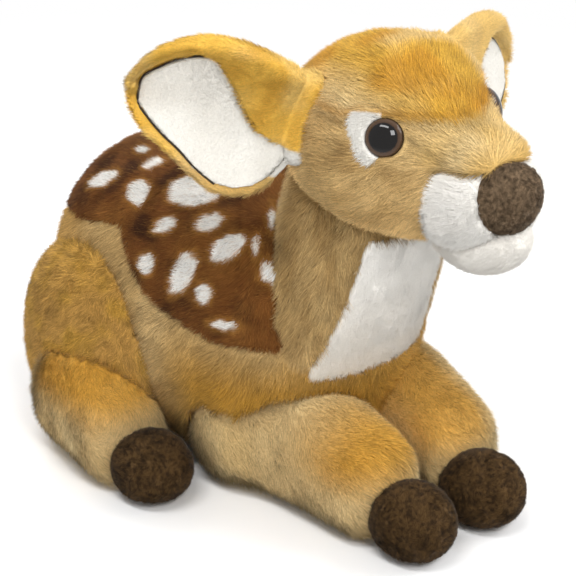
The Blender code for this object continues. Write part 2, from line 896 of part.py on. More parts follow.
def eye_form(name, side):
    rim = EYE_RADIUS - EYE_RIM
    profile = [
        (0.0, -STEM_LENGTH),
        (STEM_RADIUS, -STEM_LENGTH),
        (STEM_RADIUS, -EYE_RIM),
        (rim, -EYE_RIM),
        (EYE_RADIUS, 0.0),
    ]
    for k in range(1, 7):
        angle = math.pi / 2 * k / 6
        profile.append((EYE_RADIUS * math.cos(angle), EYE_DEPTH * math.sin(angle)))
    return turned_form(name, profile, 20, eye_place(side))


def washer_form(name, side):
    """Ring that holds the eye stem, inside the head."""
    place = eye_place(side)
    inner = STEM_RADIUS + SEAM_GAP
    top = -WASHER_DEPTH
    low = top - WASHER_THICKNESS
    points, faces = [], []
    count = 20
    for radius, height in ((inner, low), (WASHER_RADIUS, low), (WASHER_RADIUS, top), (inner, top)):
        for k in range(count):
            angle = 2 * math.pi * k / count
            points.append((radius * math.cos(angle), radius * math.sin(angle), height))
    for ring in range(4):
        nxt_ring = (ring + 1) % 4
        for k in range(count):
            nxt = (k + 1) % count
            low_row, high_row = ring * count, nxt_ring * count
            faces.append((low_row + k, low_row + nxt, high_row + nxt, high_row + k))
    return change_points(mesh_object(name, points, faces, smooth=False), place)


def eye_socket_form(name, side):
    """Cutter for the eye seat, the stem bore and the washer pocket."""
    bore = STEM_RADIUS + SEAM_GAP
    pocket = WASHER_RADIUS + SEAM_GAP
    seat = EYE_RADIUS + SEAM_GAP
    pocket_low = -WASHER_DEPTH - WASHER_THICKNESS - SEAM_GAP
    pocket_high = SEAM_GAP - WASHER_DEPTH
    profile = [
        (0.0, -STEM_LENGTH - SEAM_GAP),
        (bore, -STEM_LENGTH - SEAM_GAP),
        (bore, pocket_low),
        (pocket, pocket_low),
        (pocket, pocket_high),
        (bore, pocket_high),
        (bore, -EYE_RIM - SEAM_GAP),
        (seat, -EYE_RIM - SEAM_GAP),
        (seat, EYE_RADIUS),
        (0.0, EYE_RADIUS),
    ]
    return turned_form(name, profile, 20, eye_place(side))


def sheet_over(name, form, outline_prism):
    """Fur sheet that follows a form inside an outline."""
    sheet = form(name, grow=FUR_PROUD)
    under = form(name + "_under", grow=FUR_PROUD - FUR_SHEET)
    cut(sheet, under)
    keep_within(sheet, outline_prism)
    return sheet


def sheet_bed(name, form, outline_prism):
    """Cutter for the shallow bed that a fur sheet lies in."""
    under = form(name + "_floor", grow=FUR_PROUD - FUR_SHEET - SEAM_GAP)
    cut(outline_prism, under)
    return outline_prism


def sheet_cutter(name, form, outline_prism):
    outer = form(name, grow=FUR_PROUD + SEAM_GAP)
    keep_within(outer, outline_prism)
    return outer


def saddle_outline(name, grow):
    outline = []
    for along, up in SADDLE_OUTLINE_SHARES:
        outline.append((TORSO_REAR - along * TORSO_LENGTH, up * TORSO_HEIGHT))
    outline = grown_outline(outline, grow)
    return prism(name, outline, "X", -TORSO_LENGTH, TORSO_LENGTH)


def chest_outline(name, grow):
    half = []
    for across, up in CHEST_OUTLINE_SHARES:
        half.append((across * NECK_HALF_WIDTH, NECK_FOOT + up * NECK_HEIGHT))
    outline = half + [(-x, z) for x, z in half[::-1]]
    outline = grown_outline(outline, grow)
    rear = NECK_DEPTH * 0.4 - NECK_REACH
    return prism(name, outline, "Y", -NECK_REACH - NECK_DEPTH, rear + grow)


def patch_outline(name, side, grow):
    outline = []
    for back, up in PATCH_OUTLINE_SHARES:
        outline.append((side * back * EYE_RADIUS, up * EYE_RADIUS))
    outline = grown_outline(outline, grow)
    thing = prism(name, outline, "Z", -EYE_RADIUS * 1.6, EYE_RADIUS * 1.6)
    return change_points(thing, eye_place(side))


def set_origin(point, *things):
    for thing in things:
        thing.data.transform(Matrix.Translation(-Vector(point)))
        thing.location = point


def main():
    clear_scene()
    floor = as_cutter(floor_cutter())

    torso = torso_form("torso")
    give_material(torso, FUR_TAN, 0.95)
    saddle = sheet_over("saddle_panel", torso_form, saddle_outline("saddle_outline", 0.0))
    give_material(saddle, FUR_BROWN, 0.95)
    saddle_shape = saddle_outline("saddle_shape", SEAM_GAP)
    bed = sheet_bed("saddle_bed", torso_form, saddle_outline("saddle_bed_outline", SEAM_GAP))
    cut(torso, floor, bed)
    torso_cutter = torso_form("torso_cutter", SEAM_GAP)
    saddle_cutter = sheet_cutter("saddle_cutter", torso_form, saddle_shape)

    neck = neck_form("neck")
    give_material(neck, FUR_TAN, 0.95)
    chest = sheet_over("chest_panel", neck_form, chest_outline("chest_outline", 0.0))
    give_material(chest, FUR_WHITE, 0.95)
    chest_bed = sheet_bed("chest_bed", neck_form, chest_outline("chest_bed_outline", SEAM_GAP))
    head_cutter = head_form("head_cutter", SEAM_GAP)
    cut(neck, torso_cutter, saddle_cutter, head_cutter)
    cut(chest, torso_cutter, head_cutter)

    head = head_form("head")
    give_material(head, FUR_GOLD, 0.95)

    nose_centre = (0.0, -NOSE_REACH, NOSE_HEIGHT)
    nose = lump("nose", nose_centre, NOSE_HALVES, 12, 22)
    give_material(nose, PLUSH_NOSE, 0.9)
    nose_cutter = lump("nose_cutter", nose_centre, NOSE_HALVES, 12, 22, SEAM_GAP)
    cut(head, nose_cutter)

    cut(head, muzzle_seam("muzzle_seam", 0.0))
    muzzle = muzzle_form("muzzle")
    give_material(muzzle, FUR_WHITE, 0.95)
    keep_within(muzzle, muzzle_seam("muzzle_side_of_seam", -SEAM_GAP))
    cut(muzzle, nose_cutter)

    chin_centre = (0.0, -CHIN_REACH, CHIN_HEIGHT)
    chin = lump("chin", chin_centre, CHIN_HALVES, 12, 22)
    give_material(chin, FUR_WHITE, 0.95)
    neck_cutter = neck_form("neck_cutter", FUR_PROUD + SEAM_GAP)
    cut(chin, head_cutter, muzzle_form("muzzle_cutter", SEAM_GAP), neck_cutter)
    cut(chin, nose_cutter)

    for side, word in ((RIGHT, "right"), (LEFT, "left")):
        eye = eye_form("eye_" + word, side)
        give_material(eye, EYE_BROWN, 0.08)
        washer = washer_form("eye_washer_" + word, side)
        give_material(washer, WASHER_WHITE, 0.5)
        socket = eye_socket_form("eye_socket_" + word, side)
        patch = sheet_over(
            "eye_patch_" + word, head_form, patch_outline("patch_" + word, side, 0.0)
        )
        give_material(patch, FUR_WHITE, 0.95)
        patch_bed = sheet_bed(
            "patch_bed_" + word,
            head_form,
            patch_outline("patch_bed_outline_" + word, side, SEAM_GAP),
        )
        cut(patch, socket)
        cut(head, patch_bed, socket)

        ear = ear_outer_form("ear_outer_" + word, side)
        give_material(ear, FUR_GOLD, 0.95)
        roll = ear_roll_form("ear_roll_" + word, side)
        combine(ear, roll, "UNION")
        lining = ear_lining_form("ear_lining_" + word, side)
        give_material(lining, FUR_WHITE, 0.95)
        cut(lining, ear_roll_form("ear_roll_cutter_" + word, side, SEAM_GAP))
        cut(head, ear_roll_form("ear_groove_" + word, side, SEAT_GAP))
        cut(head, ear_room_form("ear_room_" + word, side))
        set_origin((side * EAR_SIDE, -EAR_REACH, EAR_HEIGHT), ear, lining)

        leg = leg_form("front_leg_" + word, side)
        give_material(leg, FUR_TAN, 0.95)
        cut(leg, floor)
        hoof = hoof_form("front_hoof_" + word, side)
        give_material(hoof, PLUSH_DARK, 0.9)
        cut(hoof, floor, leg_form("hoof_leg_cutter_" + word, side, SEAM_GAP))
        leg_room = leg_room_form("leg_room_" + word, side)
        cut(torso, leg_room)
        cut(neck, leg_room)
        cut(chest, leg_room)
        set_origin(leg_root(side), leg, hoof)

        haunch = haunch_form("haunch_" + word, side)
        give_material(haunch, FUR_TAN, 0.95)
        cut(haunch, floor, torso_cutter, saddle_cutter, leg_room)
        hind = hind_form("hind_leg_" + word, side)
        give_material(hind, FUR_TAN, 0.95)
        haunch_cutter = haunch_form("haunch_cutter_" + word, side, SEAM_GAP)
        cut(hind, floor, torso_cutter, haunch_cutter)
        hind_hoof = hind_hoof_form("hind_hoof_" + word, side)
        give_material(hind_hoof, PLUSH_DARK, 0.9)
        hind_cutter = hind_form("hind_cutter_" + word, side, SEAM_GAP)
        cut(hind_hoof, floor, hind_cutter, haunch_cutter)

    cut(neck, chest_bed)

    tail = tail_form("tail")
    give_material(tail, FUR_TAN, 0.95)
    spread = math.tan(math.radians(TAIL_SWING))
    tail_room = tail_form("tail_room", SEAT_GAP, spread, 2.4)
    cut(torso, tail_room)
    cut(saddle, tail_room)
    set_origin((0.0, TAIL_REAR, TAIL_ROOT_HEIGHT), tail)


main()
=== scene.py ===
"""Looks of the lying plush fawn: fur covers, short naps, eyes, floor, light and camera."""

import math

import bmesh
import bpy
import numpy as np
from mathutils import Matrix, Vector
from mathutils.bvhtree import BVHTree
from mathutils.kdtree import KDTree


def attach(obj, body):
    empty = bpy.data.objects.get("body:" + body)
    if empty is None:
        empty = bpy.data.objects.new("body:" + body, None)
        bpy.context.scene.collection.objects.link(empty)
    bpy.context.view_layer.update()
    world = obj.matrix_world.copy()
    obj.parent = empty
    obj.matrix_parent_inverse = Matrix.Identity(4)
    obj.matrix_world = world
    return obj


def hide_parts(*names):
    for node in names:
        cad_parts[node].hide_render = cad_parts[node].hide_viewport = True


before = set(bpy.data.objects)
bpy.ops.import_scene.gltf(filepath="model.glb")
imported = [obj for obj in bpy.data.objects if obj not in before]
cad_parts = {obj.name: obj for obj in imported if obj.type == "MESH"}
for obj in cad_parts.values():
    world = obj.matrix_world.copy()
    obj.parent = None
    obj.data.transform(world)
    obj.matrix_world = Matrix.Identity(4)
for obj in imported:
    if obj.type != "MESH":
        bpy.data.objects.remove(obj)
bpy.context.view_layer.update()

# Camera of the photograph
AZIMUTH = math.radians(-40.5)
ELEVATION = math.radians(24.5)
DISTANCE = 1.1
AIM = Vector((0.0363, 0.0, 0.06765))
METRES_PER_PIXEL = 0.55e-3
FRAME_PIXELS = 576
SENSOR = 36.0

FLOOR_CLEAR = 0.0006
FLOOR_LEVEL = -0.0002
FLAT_HEIGHT = 0.0016
BARE_HEIGHT = 0.004
RAY_START = 0.0012
ROOT_DEPTH = 0.0004
SEATED_SHARE = 0.4
FAR_AWAY = 9.0
COVER_PUFF = 0.0002
COVER_SWELL = 0.0008
TILE_MARGIN = 0.04
LAMP_AIM = (0.0, -0.04, 0.10)
STRAND_SHARE = 1.0

# Eye centre and the way the right eye faces; the left one mirrors it
EYE_CENTRE = np.array((-0.0339, -0.1487, 0.2138))
EYE_AXIS = np.array((-0.75, -0.52, 0.34)) / np.linalg.norm((0.75, 0.52, 0.34))
EYE_RADIUS = 0.0090
EYE_DOME = 0.0050

# Fold from the front corner of the right eye to the top of the muzzle, along which the fur is
# darkened as painted shade
CREASE_START = np.array((-0.0300, -0.1567, 0.2152))
CREASE_END = np.array((-0.0248, -0.1745, 0.2084))

# Saddle spots in millimetres: along Y, round the girth from the top, half sizes, tilt
SPOTS = (
    (47, 59, 9.5, 5.2, 28),
    (39, 34, 5.6, 3.0, -11),
    (21, 40, 5.8, 4.0, 38),
    (14, 58, 8.6, 6.0, -16),
    (-20, 46, 15.5, 9.2, 12),
    (-17, 67, 6.1, 3.5, 26),
    (-42, 56, 7.1, 4.4, 36),
    (-59, 63, 9.9, 6.4, 47),
    (-14, 87, 5.8, 4.8, -3),
    (-39, 84, 10.8, 6.0, 67),
    (-55, 88, 5.4, 4.5, 61),
    (-84, 63, 5.2, 3.4, 87),
    (-68, 26, 6.4, 3.0, -60),
    (-69, 99, 6.4, 2.6, 13),
    (-70, 38, 6.6, 1.8, -48),
    (33, 84, 3.2, 2.2, 30),
    (-73, 56, 4.0, 1.6, -58),
)
GIRTH_CENTRE = 0.080
GIRTH_HALVES = (0.073, 0.081)
GIRTH_RADIUS = 0.077


def srgb(red, green, blue):
    value = np.array((red, green, blue), float) / 255
    return np.where(value <= 0.04045, value / 12.92, ((value + 0.055) / 1.055) ** 2.4)


TAN = srgb(230, 194, 132)
PALE_TAN = srgb(244, 216, 160)
GOLD = srgb(230, 180, 72)
DEEP_GOLD = srgb(206, 144, 42)
LEG_GOLD = srgb(228, 166, 46)
EAR_GOLD = srgb(254, 202, 88)
EAR_PALE = srgb(252, 222, 150)
OLIVE = srgb(200, 164, 106)
DARK_TIP = srgb(150, 114, 64)
HAUNCH_TAN = srgb(212, 164, 86)
SADDLE = srgb(116, 70, 30)
SADDLE_DARK = srgb(74, 42, 18)
SADDLE_LIGHT = srgb(152, 100, 46)
HALO = srgb(176, 124, 58)
CREAM = srgb(252, 249, 242)
WHITE = srgb(255, 252, 245)
CHEST_SHADE_WHITE = srgb(222, 208, 182)
WARM_WHITE = srgb(240, 235, 226)
SOFT_WHITE = srgb(236, 233, 225)
GREY_WHITE = srgb(222, 218, 209)
HOOF = srgb(94, 70, 40)
HOOF_DARK = srgb(56, 40, 22)
NOSE = srgb(122, 101, 78)
NOSE_DARK = srgb(82, 67, 50)
EDGE_LINE_DARK = srgb(44, 34, 24)
WASHER_GREY = srgb(218, 218, 214)
PUPIL = srgb(12, 9, 8)
IRIS_INNER = srgb(64, 45, 30)
IRIS_OUTER = srgb(80, 60, 44)
EYE_EDGE = srgb(30, 24, 20)


# Value noise, the same on every run


def lattice(x, y, z, seed):
    mixed = x * 374761393 + y * 668265263 + z * 1442695041 + seed * 974634777
    mixed &= 0xFFFFFFFF
    mixed = ((mixed ^ (mixed >> 13)) * 1274126177) & 0xFFFFFFFF
    mixed ^= mixed >> 16
    return (mixed & 0xFFFF) / 65535.0


def noise(points, scale, seed):
    """Smooth noise from 0 to 1 with patches about as large as scale."""
    place = points / scale
    base = np.floor(place).astype(np.int64)
    part = place - base
    part = part * part * (3 - 2 * part)
    total = np.zeros(len(points))
    for dx in (0, 1):
        for dy in (0, 1):
            for dz in (0, 1):
                weight = (part[:, 0] if dx else 1 - part[:, 0]).copy()
                weight *= part[:, 1] if dy else 1 - part[:, 1]
                weight *= part[:, 2] if dz else 1 - part[:, 2]
                corner = lattice(base[:, 0] + dx, base[:, 1] + dy, base[:, 2] + dz, seed)
                total += weight * corner
    return total


def smooth_step(value, low, high):
    share = np.clip((value - low) / (high - low), 0, 1)
    return share * share * (3 - 2 * share)


def mix(first, second, share):
    return first + (second - first) * share[:, None]


def unit(vectors):
    length = np.linalg.norm(vectors, axis=-1, keepdims=True)
    return vectors / np.maximum(length, 1e-12)


# Colours of each cover as functions of the place


def tan_colour(points):
    colour = mix(TAN, PALE_TAN, smooth_step(noise(points, 0.030, 1), 0.35, 0.8))
    colour = mix(colour, OLIVE, 0.45 * smooth_step(noise(points, 0.018, 2), 0.45, 0.85))
    return mix(colour, GOLD, 0.30 * smooth_step(noise(points, 0.024, 3), 0.5, 0.9))


def torso_colour(points):
    colour = mix(TAN, OLIVE, 0.40 + 0.5 * noise(points, 0.016, 4)) * 0.92
    colour = mix(colour, PALE_TAN, 0.25 * smooth_step(noise(points, 0.02, 5), 0.4, 0.8))
    ahead = smooth_step(-points[:, 1], 0.015, 0.055)
    low = 1 - smooth_step(points[:, 2], 0.060, 0.095)
    colour = mix(colour, LEG_GOLD * 0.70, 0.85 * ahead * low)
    behind = smooth_step(points[:, 1], 0.030, 0.070)
    return mix(colour, HAUNCH_TAN * 0.96, 0.75 * behind)


def saddle_colour(points):
    colour = mix(SADDLE, SADDLE_DARK, smooth_step(noise(points, 0.011, 6), 0.35, 0.8))
    colour = mix(colour, SADDLE_LIGHT, 0.6 * smooth_step(noise(points, 0.016, 7), 0.5, 0.85))
    front = smooth_step(-points[:, 1], 0.02, 0.085)
    colour = mix(colour, SADDLE_LIGHT, 0.35 * front * noise(points, 0.008, 8))
    side = points[:, 0]
    angle = np.arctan2(
        np.abs(side) / GIRTH_HALVES[0], (points[:, 2] - GIRTH_CENTRE) / GIRTH_HALVES[1]
    )
    girth = angle * GIRTH_RADIUS
    along = points[:, 1] + np.where(side > 0, 0.006, 0.0)
    girth = girth + np.where(side > 0, 0.004, 0.0)
    nearest = np.full(len(points), FAR_AWAY)
    for y, s, long_half, short_half, tilt in SPOTS:
        turn = math.radians(tilt)
        dy, ds = along - y * 1e-3, girth - s * 1e-3
        u = (dy * math.cos(turn) + ds * math.sin(turn)) / (long_half * 1e-3)
        v = (ds * math.cos(turn) - dy * math.sin(turn)) / (short_half * 1e-3)
        rim = 0.0018 / (short_half * 1e-3)
        distance = (np.sqrt(u * u + v * v) - 1) / rim
        nearest = np.minimum(nearest, distance)
    nearest += (noise(points, 0.0028, 9) - 0.5) * 1.1
    lit = 1 + 0.18 * (1 - smooth_step(nearest, -0.5, 0.4))
    # Painted rim light: the top of the back is made lighter towards the rump
    back = 1 - smooth_step(np.abs(side), 0.012, 0.045)
    colour = mix(colour, SADDLE_LIGHT, 0.45 * back * smooth_step(points[:, 1], 0.0, 0.05))
    colour = mix(colour, HALO, 0.75 * (1 - smooth_step(nearest, 0.0, 1.9)))
    return mix(colour, CREAM, 1 - smooth_step(nearest, -0.5, 0.4)) * lit[:, None]


def haunch_colour(points):
    colour = mix(HAUNCH_TAN, GOLD * 0.85, 0.7 * smooth_step(noise(points, 0.010, 10), 0.35, 0.8))
    colour = mix(colour, DARK_TIP, 0.22 * smooth_step(noise(points, 0.004, 11), 0.5, 0.85))
    top = smooth_step(points[:, 2], 0.085, 0.12)
    return mix(colour, GOLD, 0.35 * top)


def hind_colour(points):
    colour = mix(TAN, PALE_TAN, smooth_step(noise(points, 0.02, 12), 0.35, 0.8))
    top = smooth_step(points[:, 2], 0.030, 0.052)
    ahead = smooth_step(-points[:, 1], -0.056, -0.030)
    colour = mix(colour, PALE_TAN, 0.8 * top * (1 - ahead))
    colour = mix(colour, PALE_TAN, 0.45 * (1 - top))
    return mix(colour, LEG_GOLD, 0.82 * top * ahead) * 1.14


def front_leg_colour(points):
    ahead = smooth_step(-points[:, 1], 0.095, 0.140)
    top = smooth_step(points[:, 2], 0.022, 0.046)
    far = smooth_step(points[:, 0], 0.0, 0.02)
    colour = mix(tan_colour(points), PALE_TAN, 0.55 * (1 - far))
    colour = mix(colour, LEG_GOLD, (0.85 - 0.1 * far) * np.maximum(ahead, far * 0.8) * top)
    # Painted light: the outer side of the far (left) leg is made paler and brighter, and the far
    # leg a little brighter overall
    outer_painted_light = far * smooth_step(points[:, 0], 0.036, 0.054)
    # Painted shade: the leg is darker low down towards the floor
    shade_beneath = 1 - smooth_step(points[:, 2], 0.004, 0.018)
    share = 1.14 - 0.10 * ahead * top * (1 - far) + 0.06 * far + 0.14 * outer_painted_light
    share *= 1 - 0.40 * shade_beneath
    return mix(colour, PALE_TAN, 0.8 * outer_painted_light) * share[:, None]


def neck_colour(points):
    colour = mix(OLIVE, TAN, smooth_step(noise(points * (1, 1, 0.35), 0.008, 13), 0.25, 0.8))
    colour = mix(colour, DARK_TIP, 0.35 * smooth_step(noise(points, 0.006, 14), 0.55, 0.9))
    high = smooth_step(points[:, 2], 0.10, 0.15)
    return colour * (0.84 - 0.08 * high)[:, None]


def head_colour(points):
    side = np.abs(points[:, 0])
    seamed = smooth_step(-points[:, 1], 0.092, 0.118)
    above = smooth_step(points[:, 2] - 0.2215, -0.0012, 0.0018) * seamed
    above += smooth_step(points[:, 2], 0.196, 0.236) * (1 - seamed)
    cheek = mix(OLIVE, TAN, smooth_step(noise(points * (1, 0.45, 1), 0.006, 15), 0.1, 0.7))
    cheek = mix(cheek, DARK_TIP, 0.35 * smooth_step(noise(points, 0.005, 16), 0.6, 0.95))
    bridge = smooth_step(-points[:, 1], 0.150, 0.168) * smooth_step(points[:, 2], 0.198, 0.212)
    cheek = mix(cheek, mix(PALE_TAN, GOLD, 0.6 * noise(points, 0.012, 17)), bridge)
    tip = smooth_step(-points[:, 1], 0.180, 0.192)
    cheek = mix(cheek, GOLD, 0.35 * tip)
    crown = mix(PALE_TAN, GOLD, smooth_step(0.048 - side, 0.0, 0.024))
    crown = mix(crown, PALE_TAN, 0.55 * smooth_step(noise(points, 0.020, 18), 0.5, 0.85))
    crown = mix(crown, DEEP_GOLD, 0.65 * smooth_step(noise(points, 0.014, 19), 0.45, 0.8)) * 0.95
    on_snout = smooth_step(-points[:, 1], 0.10, 0.12)
    seam = np.exp(-(((points[:, 2] - 0.2240) / 0.0025) ** 2)) * on_snout
    crown = mix(crown, DEEP_GOLD * 0.8, 0.6 * seam)
    colour = mix(cheek, crown, above)
    # Painted shade just beneath the brow seam on the snout
    shade_beneath = np.exp(-(((points[:, 2] - 0.2208) / 0.0014) ** 2)) * on_snout
    # Painted shade along the fold from the eye to the muzzle
    crease_shade = np.exp(-((line_distance(points, CREASE_START, CREASE_END) / 0.0020) ** 2))
    # Painted light: the lower cheek is made lighter
    low = 1 - smooth_step(points[:, 2], 0.182, 0.198)
    return colour * (1 + 0.32 * low - 0.25 * shade_beneath - 0.55 * crease_shade)[:, None]


def line_distance(points, start, end):
    """Distance from the line between two places, mirrored to both sides."""
    mirrored = points.copy()
    mirrored[:, 0] = -np.abs(mirrored[:, 0])
    run = end - start
    share = np.clip((mirrored - start) @ run / (run @ run), 0, 1)
    return np.linalg.norm(mirrored - start - share[:, None] * run, axis=1)


def in_ear(points, word):
    """Reach along an ear, height over its middle line and depth in front of it."""
    root, along, upper, face = EAR_FRAMES[word]
    offset = points - np.array(root)
    return offset @ along, offset @ upper, offset @ face


def ear_plug(word):
    """Oval that closes the open end of the cup at the tip of an ear."""
    root, along, upper, face = EAR_FRAMES[word]
    centre = np.array(root) + 0.0810 * along + 0.0039 * upper - 0.0054 * face
    plug = Matrix()
    for column, axis in enumerate((0.0019 * along, 0.0034 * upper, 0.0052 * face)):
        plug.col[column] = (*axis, 0)
    plug.translation = centre
    return plug


def ear_mouth(word):
    """Share of the white lining, where it runs on into the root of the ear."""

    def share(points):
        reach, height, depth = in_ear(points, word)
        inside = smooth_step(-height, 0.0132, 0.0148) * (1 - smooth_step(-height, 0.0280, 0.0292))
        return inside * (1 - smooth_step(reach, 0.013, 0.016)) * smooth_step(depth, -0.001, 0.0005)

    return share


def ear_colour(word):
    mouth = ear_mouth(word)

    def colour(points):
        gold = mix(EAR_GOLD, EAR_PALE, 0.5 * smooth_step(noise(points, 0.014, 20), 0.4, 0.85))
        gold = mix(gold, DEEP_GOLD, 0.35 * smooth_step(noise(points, 0.009, 21), 0.5, 0.9))
        low = smooth_step(-in_ear(points, word)[1], 0.021, 0.028)
        gold = mix(gold, TAN, 0.65 * low)
        # Painted light and shade: the left ear's gold is made paler and 14 % darker than the
        # right's
        if word == "left":
            gold = mix(gold, PALE_TAN, np.full(len(points), 0.45)) * 0.86
        return mix(gold, SOFT_WHITE * 0.85, mouth(points))

    return colour


def lining_colour(points):
    return mix(SOFT_WHITE, GREY_WHITE, noise(points, 0.012, 22)) * 0.94


def white_colour(points):
    return mix(WHITE, WARM_WHITE, 0.6 * noise(points, 0.010, 23))


def patch_colour(points):
    mirrored = points.copy()
    mirrored[:, 0] = -np.abs(mirrored[:, 0])
    upper = np.array((0, 0, 1)) - EYE_AXIS * EYE_AXIS[2]
    height = (mirrored - EYE_CENTRE) @ (upper / np.linalg.norm(upper)) / EYE_RADIUS
    white = mix(SOFT_WHITE, GREY_WHITE, 0.5 * noise(points, 0.006, 28))
    away = np.linalg.norm(mirrored - EYE_CENTRE, axis=1)
    outside = np.maximum(smooth_step(height, 1.10, 1.25), smooth_step(away, 0.0188, 0.0202))
    return mix(white, head_colour(points), outside)


def chin_colour(points):
    return mix(WARM_WHITE, SOFT_WHITE, 0.5 * noise(points, 0.010, 29))


def chest_colour(points):
    # Painted shade: the white turns darker and warmer towards the bottom of the chest
    low = 1 - smooth_step(points[:, 2], 0.06, 0.15)
    return mix(WHITE, CHEST_SHADE_WHITE, 0.30 * low * noise(points, 0.02, 24) + 0.15 * low)


def hoof_colour(points):
    return mix(HOOF, HOOF_DARK, smooth_step(noise(points, 0.0014, 25), 0.25, 0.85))


def nose_colour(points):
    return mix(NOSE, NOSE_DARK, smooth_step(noise(points, 0.0012, 26), 0.25, 0.85))


def tail_colour(points):
    return mix(TAN, GOLD, 0.5 * noise(points, 0.012, 27))


def root_shade_factor(tint, deep):
    """How dark the foot of a strand is, as painted shade deep in the coat; pale fur stays pale to
    the root.
    """
    pale = smooth_step(tint.min(axis=1, keepdims=True), 0.30, 0.60)
    return deep + (0.94 - deep) * pale


# Directions that the fur is combed in


def steady(x, y, z):
    def flow(points):
        return np.tile((x, y, z), (len(points), 1)).astype(float)

    return flow


def away_from(centre, sink=0.0):
    def flow(points):
        away = unit(points - np.array(centre))
        away[:, 2] -= sink
        return away

    return flow


def torso_flow(points):
    side = np.sign(points[:, 0]) * smooth_step(np.abs(points[:, 0]), 0.0, 0.03)
    down = smooth_step(np.abs(points[:, 0]), 0.01, 0.06)
    return np.stack((side * 0.35, np.full(len(points), 0.55), -0.15 - 0.75 * down), 1)


def leg_flow(points):
    return np.tile((0.0, -1.0, -0.30), (len(points), 1))


def swirl(size, seed):
    def flow(points):
        vectors = []
        for k in range(3):
            vectors.append(noise(points, size, seed + k) - 0.5)
        return unit(np.stack(vectors, 1))

    return flow


# Meshes


def link(thing):
    bpy.context.scene.collection.objects.link(thing)
    return thing


def read_mesh(mesh):
    count = len(mesh.vertices)
    places = np.empty(count * 3)
    mesh.vertices.foreach_get("co", places)
    normals = np.empty(count * 3)
    mesh.vertices.foreach_get("normal", normals)
    mesh.calc_loop_triangles()
    corners = np.empty(len(mesh.loop_triangles) * 3, np.int64)
    mesh.loop_triangles.foreach_get("vertices", corners)
    return places.reshape(-1, 3), normals.reshape(-1, 3), corners.reshape(-1, 3)


def even_mesh(name, source, voxel, rounds, plug=None):
    """Evenly divided and smoothed copy of a mesh object, with a plug in its open end."""
    mesh = source.data.copy()
    shape = bmesh.new()
    shape.from_mesh(mesh)
    bmesh.ops.remove_doubles(shape, verts=shape.verts[:], dist=1e-6)
    if plug is not None:
        bmesh.ops.create_icosphere(shape, subdivisions=3, radius=1.0, matrix=plug)
    shape.to_mesh(mesh)
    shape.free()
    scratch = link(bpy.data.objects.new(name + "_rough", mesh))
    remesh = scratch.modifiers.new("even", "REMESH")
    remesh.mode = "VOXEL"
    remesh.voxel_size = voxel
    remesh.use_smooth_shade = True
    soften = scratch.modifiers.new("soften", "SMOOTH")
    soften.factor = 0.5
    soften.iterations = rounds
    graph = bpy.context.evaluated_depsgraph_get()
    result = bpy.data.meshes.new_from_object(scratch.evaluated_get(graph))
    bpy.data.objects.remove(scratch, do_unlink=True)
    result.name = name
    result.materials.clear()
    for polygon in result.polygons:
        polygon.use_smooth = True
    return result


def box_map(points, normals, low, size):
    """Places on a sheet of three by two tiles, one for each side of the box."""
    axis = np.argmax(np.abs(normals), 1)
    sign = np.take_along_axis(normals, axis[:, None], 1)[:, 0] > 0
    share = (points - low) / size
    first = np.where(axis == 0, share[:, 1], share[:, 0])
    second = np.where(axis == 2, share[:, 1], share[:, 2])
    u = (axis + TILE_MARGIN + (1 - 2 * TILE_MARGIN) * np.clip(first, 0, 1)) / 3
    v = (sign + TILE_MARGIN + (1 - 2 * TILE_MARGIN) * np.clip(second, 0, 1)) / 2
    return np.stack((u, v), 1)


def write_colours(mesh, colours):
    layer = mesh.color_attributes.new("FurColour", "FLOAT_COLOR", "POINT")
    full = np.ones((len(colours), 4), np.float32)
    full[:, :3] = colours
    layer.data.foreach_set("color", full.ravel())


def neighbours_tree(node):
    """Search tree of all the CAD nodes but one."""
    points, faces = [], []
    start = 0
    for name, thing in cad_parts.items():
        if name == node or name.startswith("eye_washer"):
            continue
        places, _, corners = read_mesh(thing.data)
        points.append(places)
        faces.append(corners + start)
        start += len(places)
    points = np.concatenate(points)
    faces = np.concatenate(faces)
    return BVHTree.FromPolygons(points.tolist(), faces.tolist())


def open_faces(places, corners, node, reach):
    """Shares of each face that no neighbouring node covers: 1 open, 0 covered."""
    tree = neighbours_tree(node)
    a, b, c = (places[corners[:, k]] for k in range(3))
    centres = (a + b + c) / 3
    normals = unit(np.cross(b - a, c - a))
    starts = centres - normals * RAY_START
    result = np.ones(len(corners))
    for k in range(len(corners)):
        hit = tree.ray_cast(Vector(starts[k]), Vector(normals[k]), reach + RAY_START)
        if hit[0] is not None:
            result[k] = 0.0
    return result


def near_the_open(centres, shown):
    """How far each covered face lies from the nearest open one."""
    open_ones = np.flatnonzero(shown > 0.5)
    tree = KDTree(len(open_ones))
    for index, k in enumerate(open_ones):
        tree.insert(centres[k], index)
    tree.balance()
    result = np.full(len(centres), FAR_AWAY)
    for k in np.flatnonzero(shown <= 0.5):
        result[k] = tree.find(centres[k])[2]
    return result


def eye_distance(points):
    """How far points lie from the axis of the eye on their own side."""
    mirrored = points.copy()
    mirrored[:, 0] = -np.abs(mirrored[:, 0])
    offset = mirrored - EYE_CENTRE
    along = offset @ EYE_AXIS
    across = offset - along[:, None] * EYE_AXIS
    near = np.abs(along) < 0.012
    return np.where(near, np.linalg.norm(across, axis=1), FAR_AWAY)


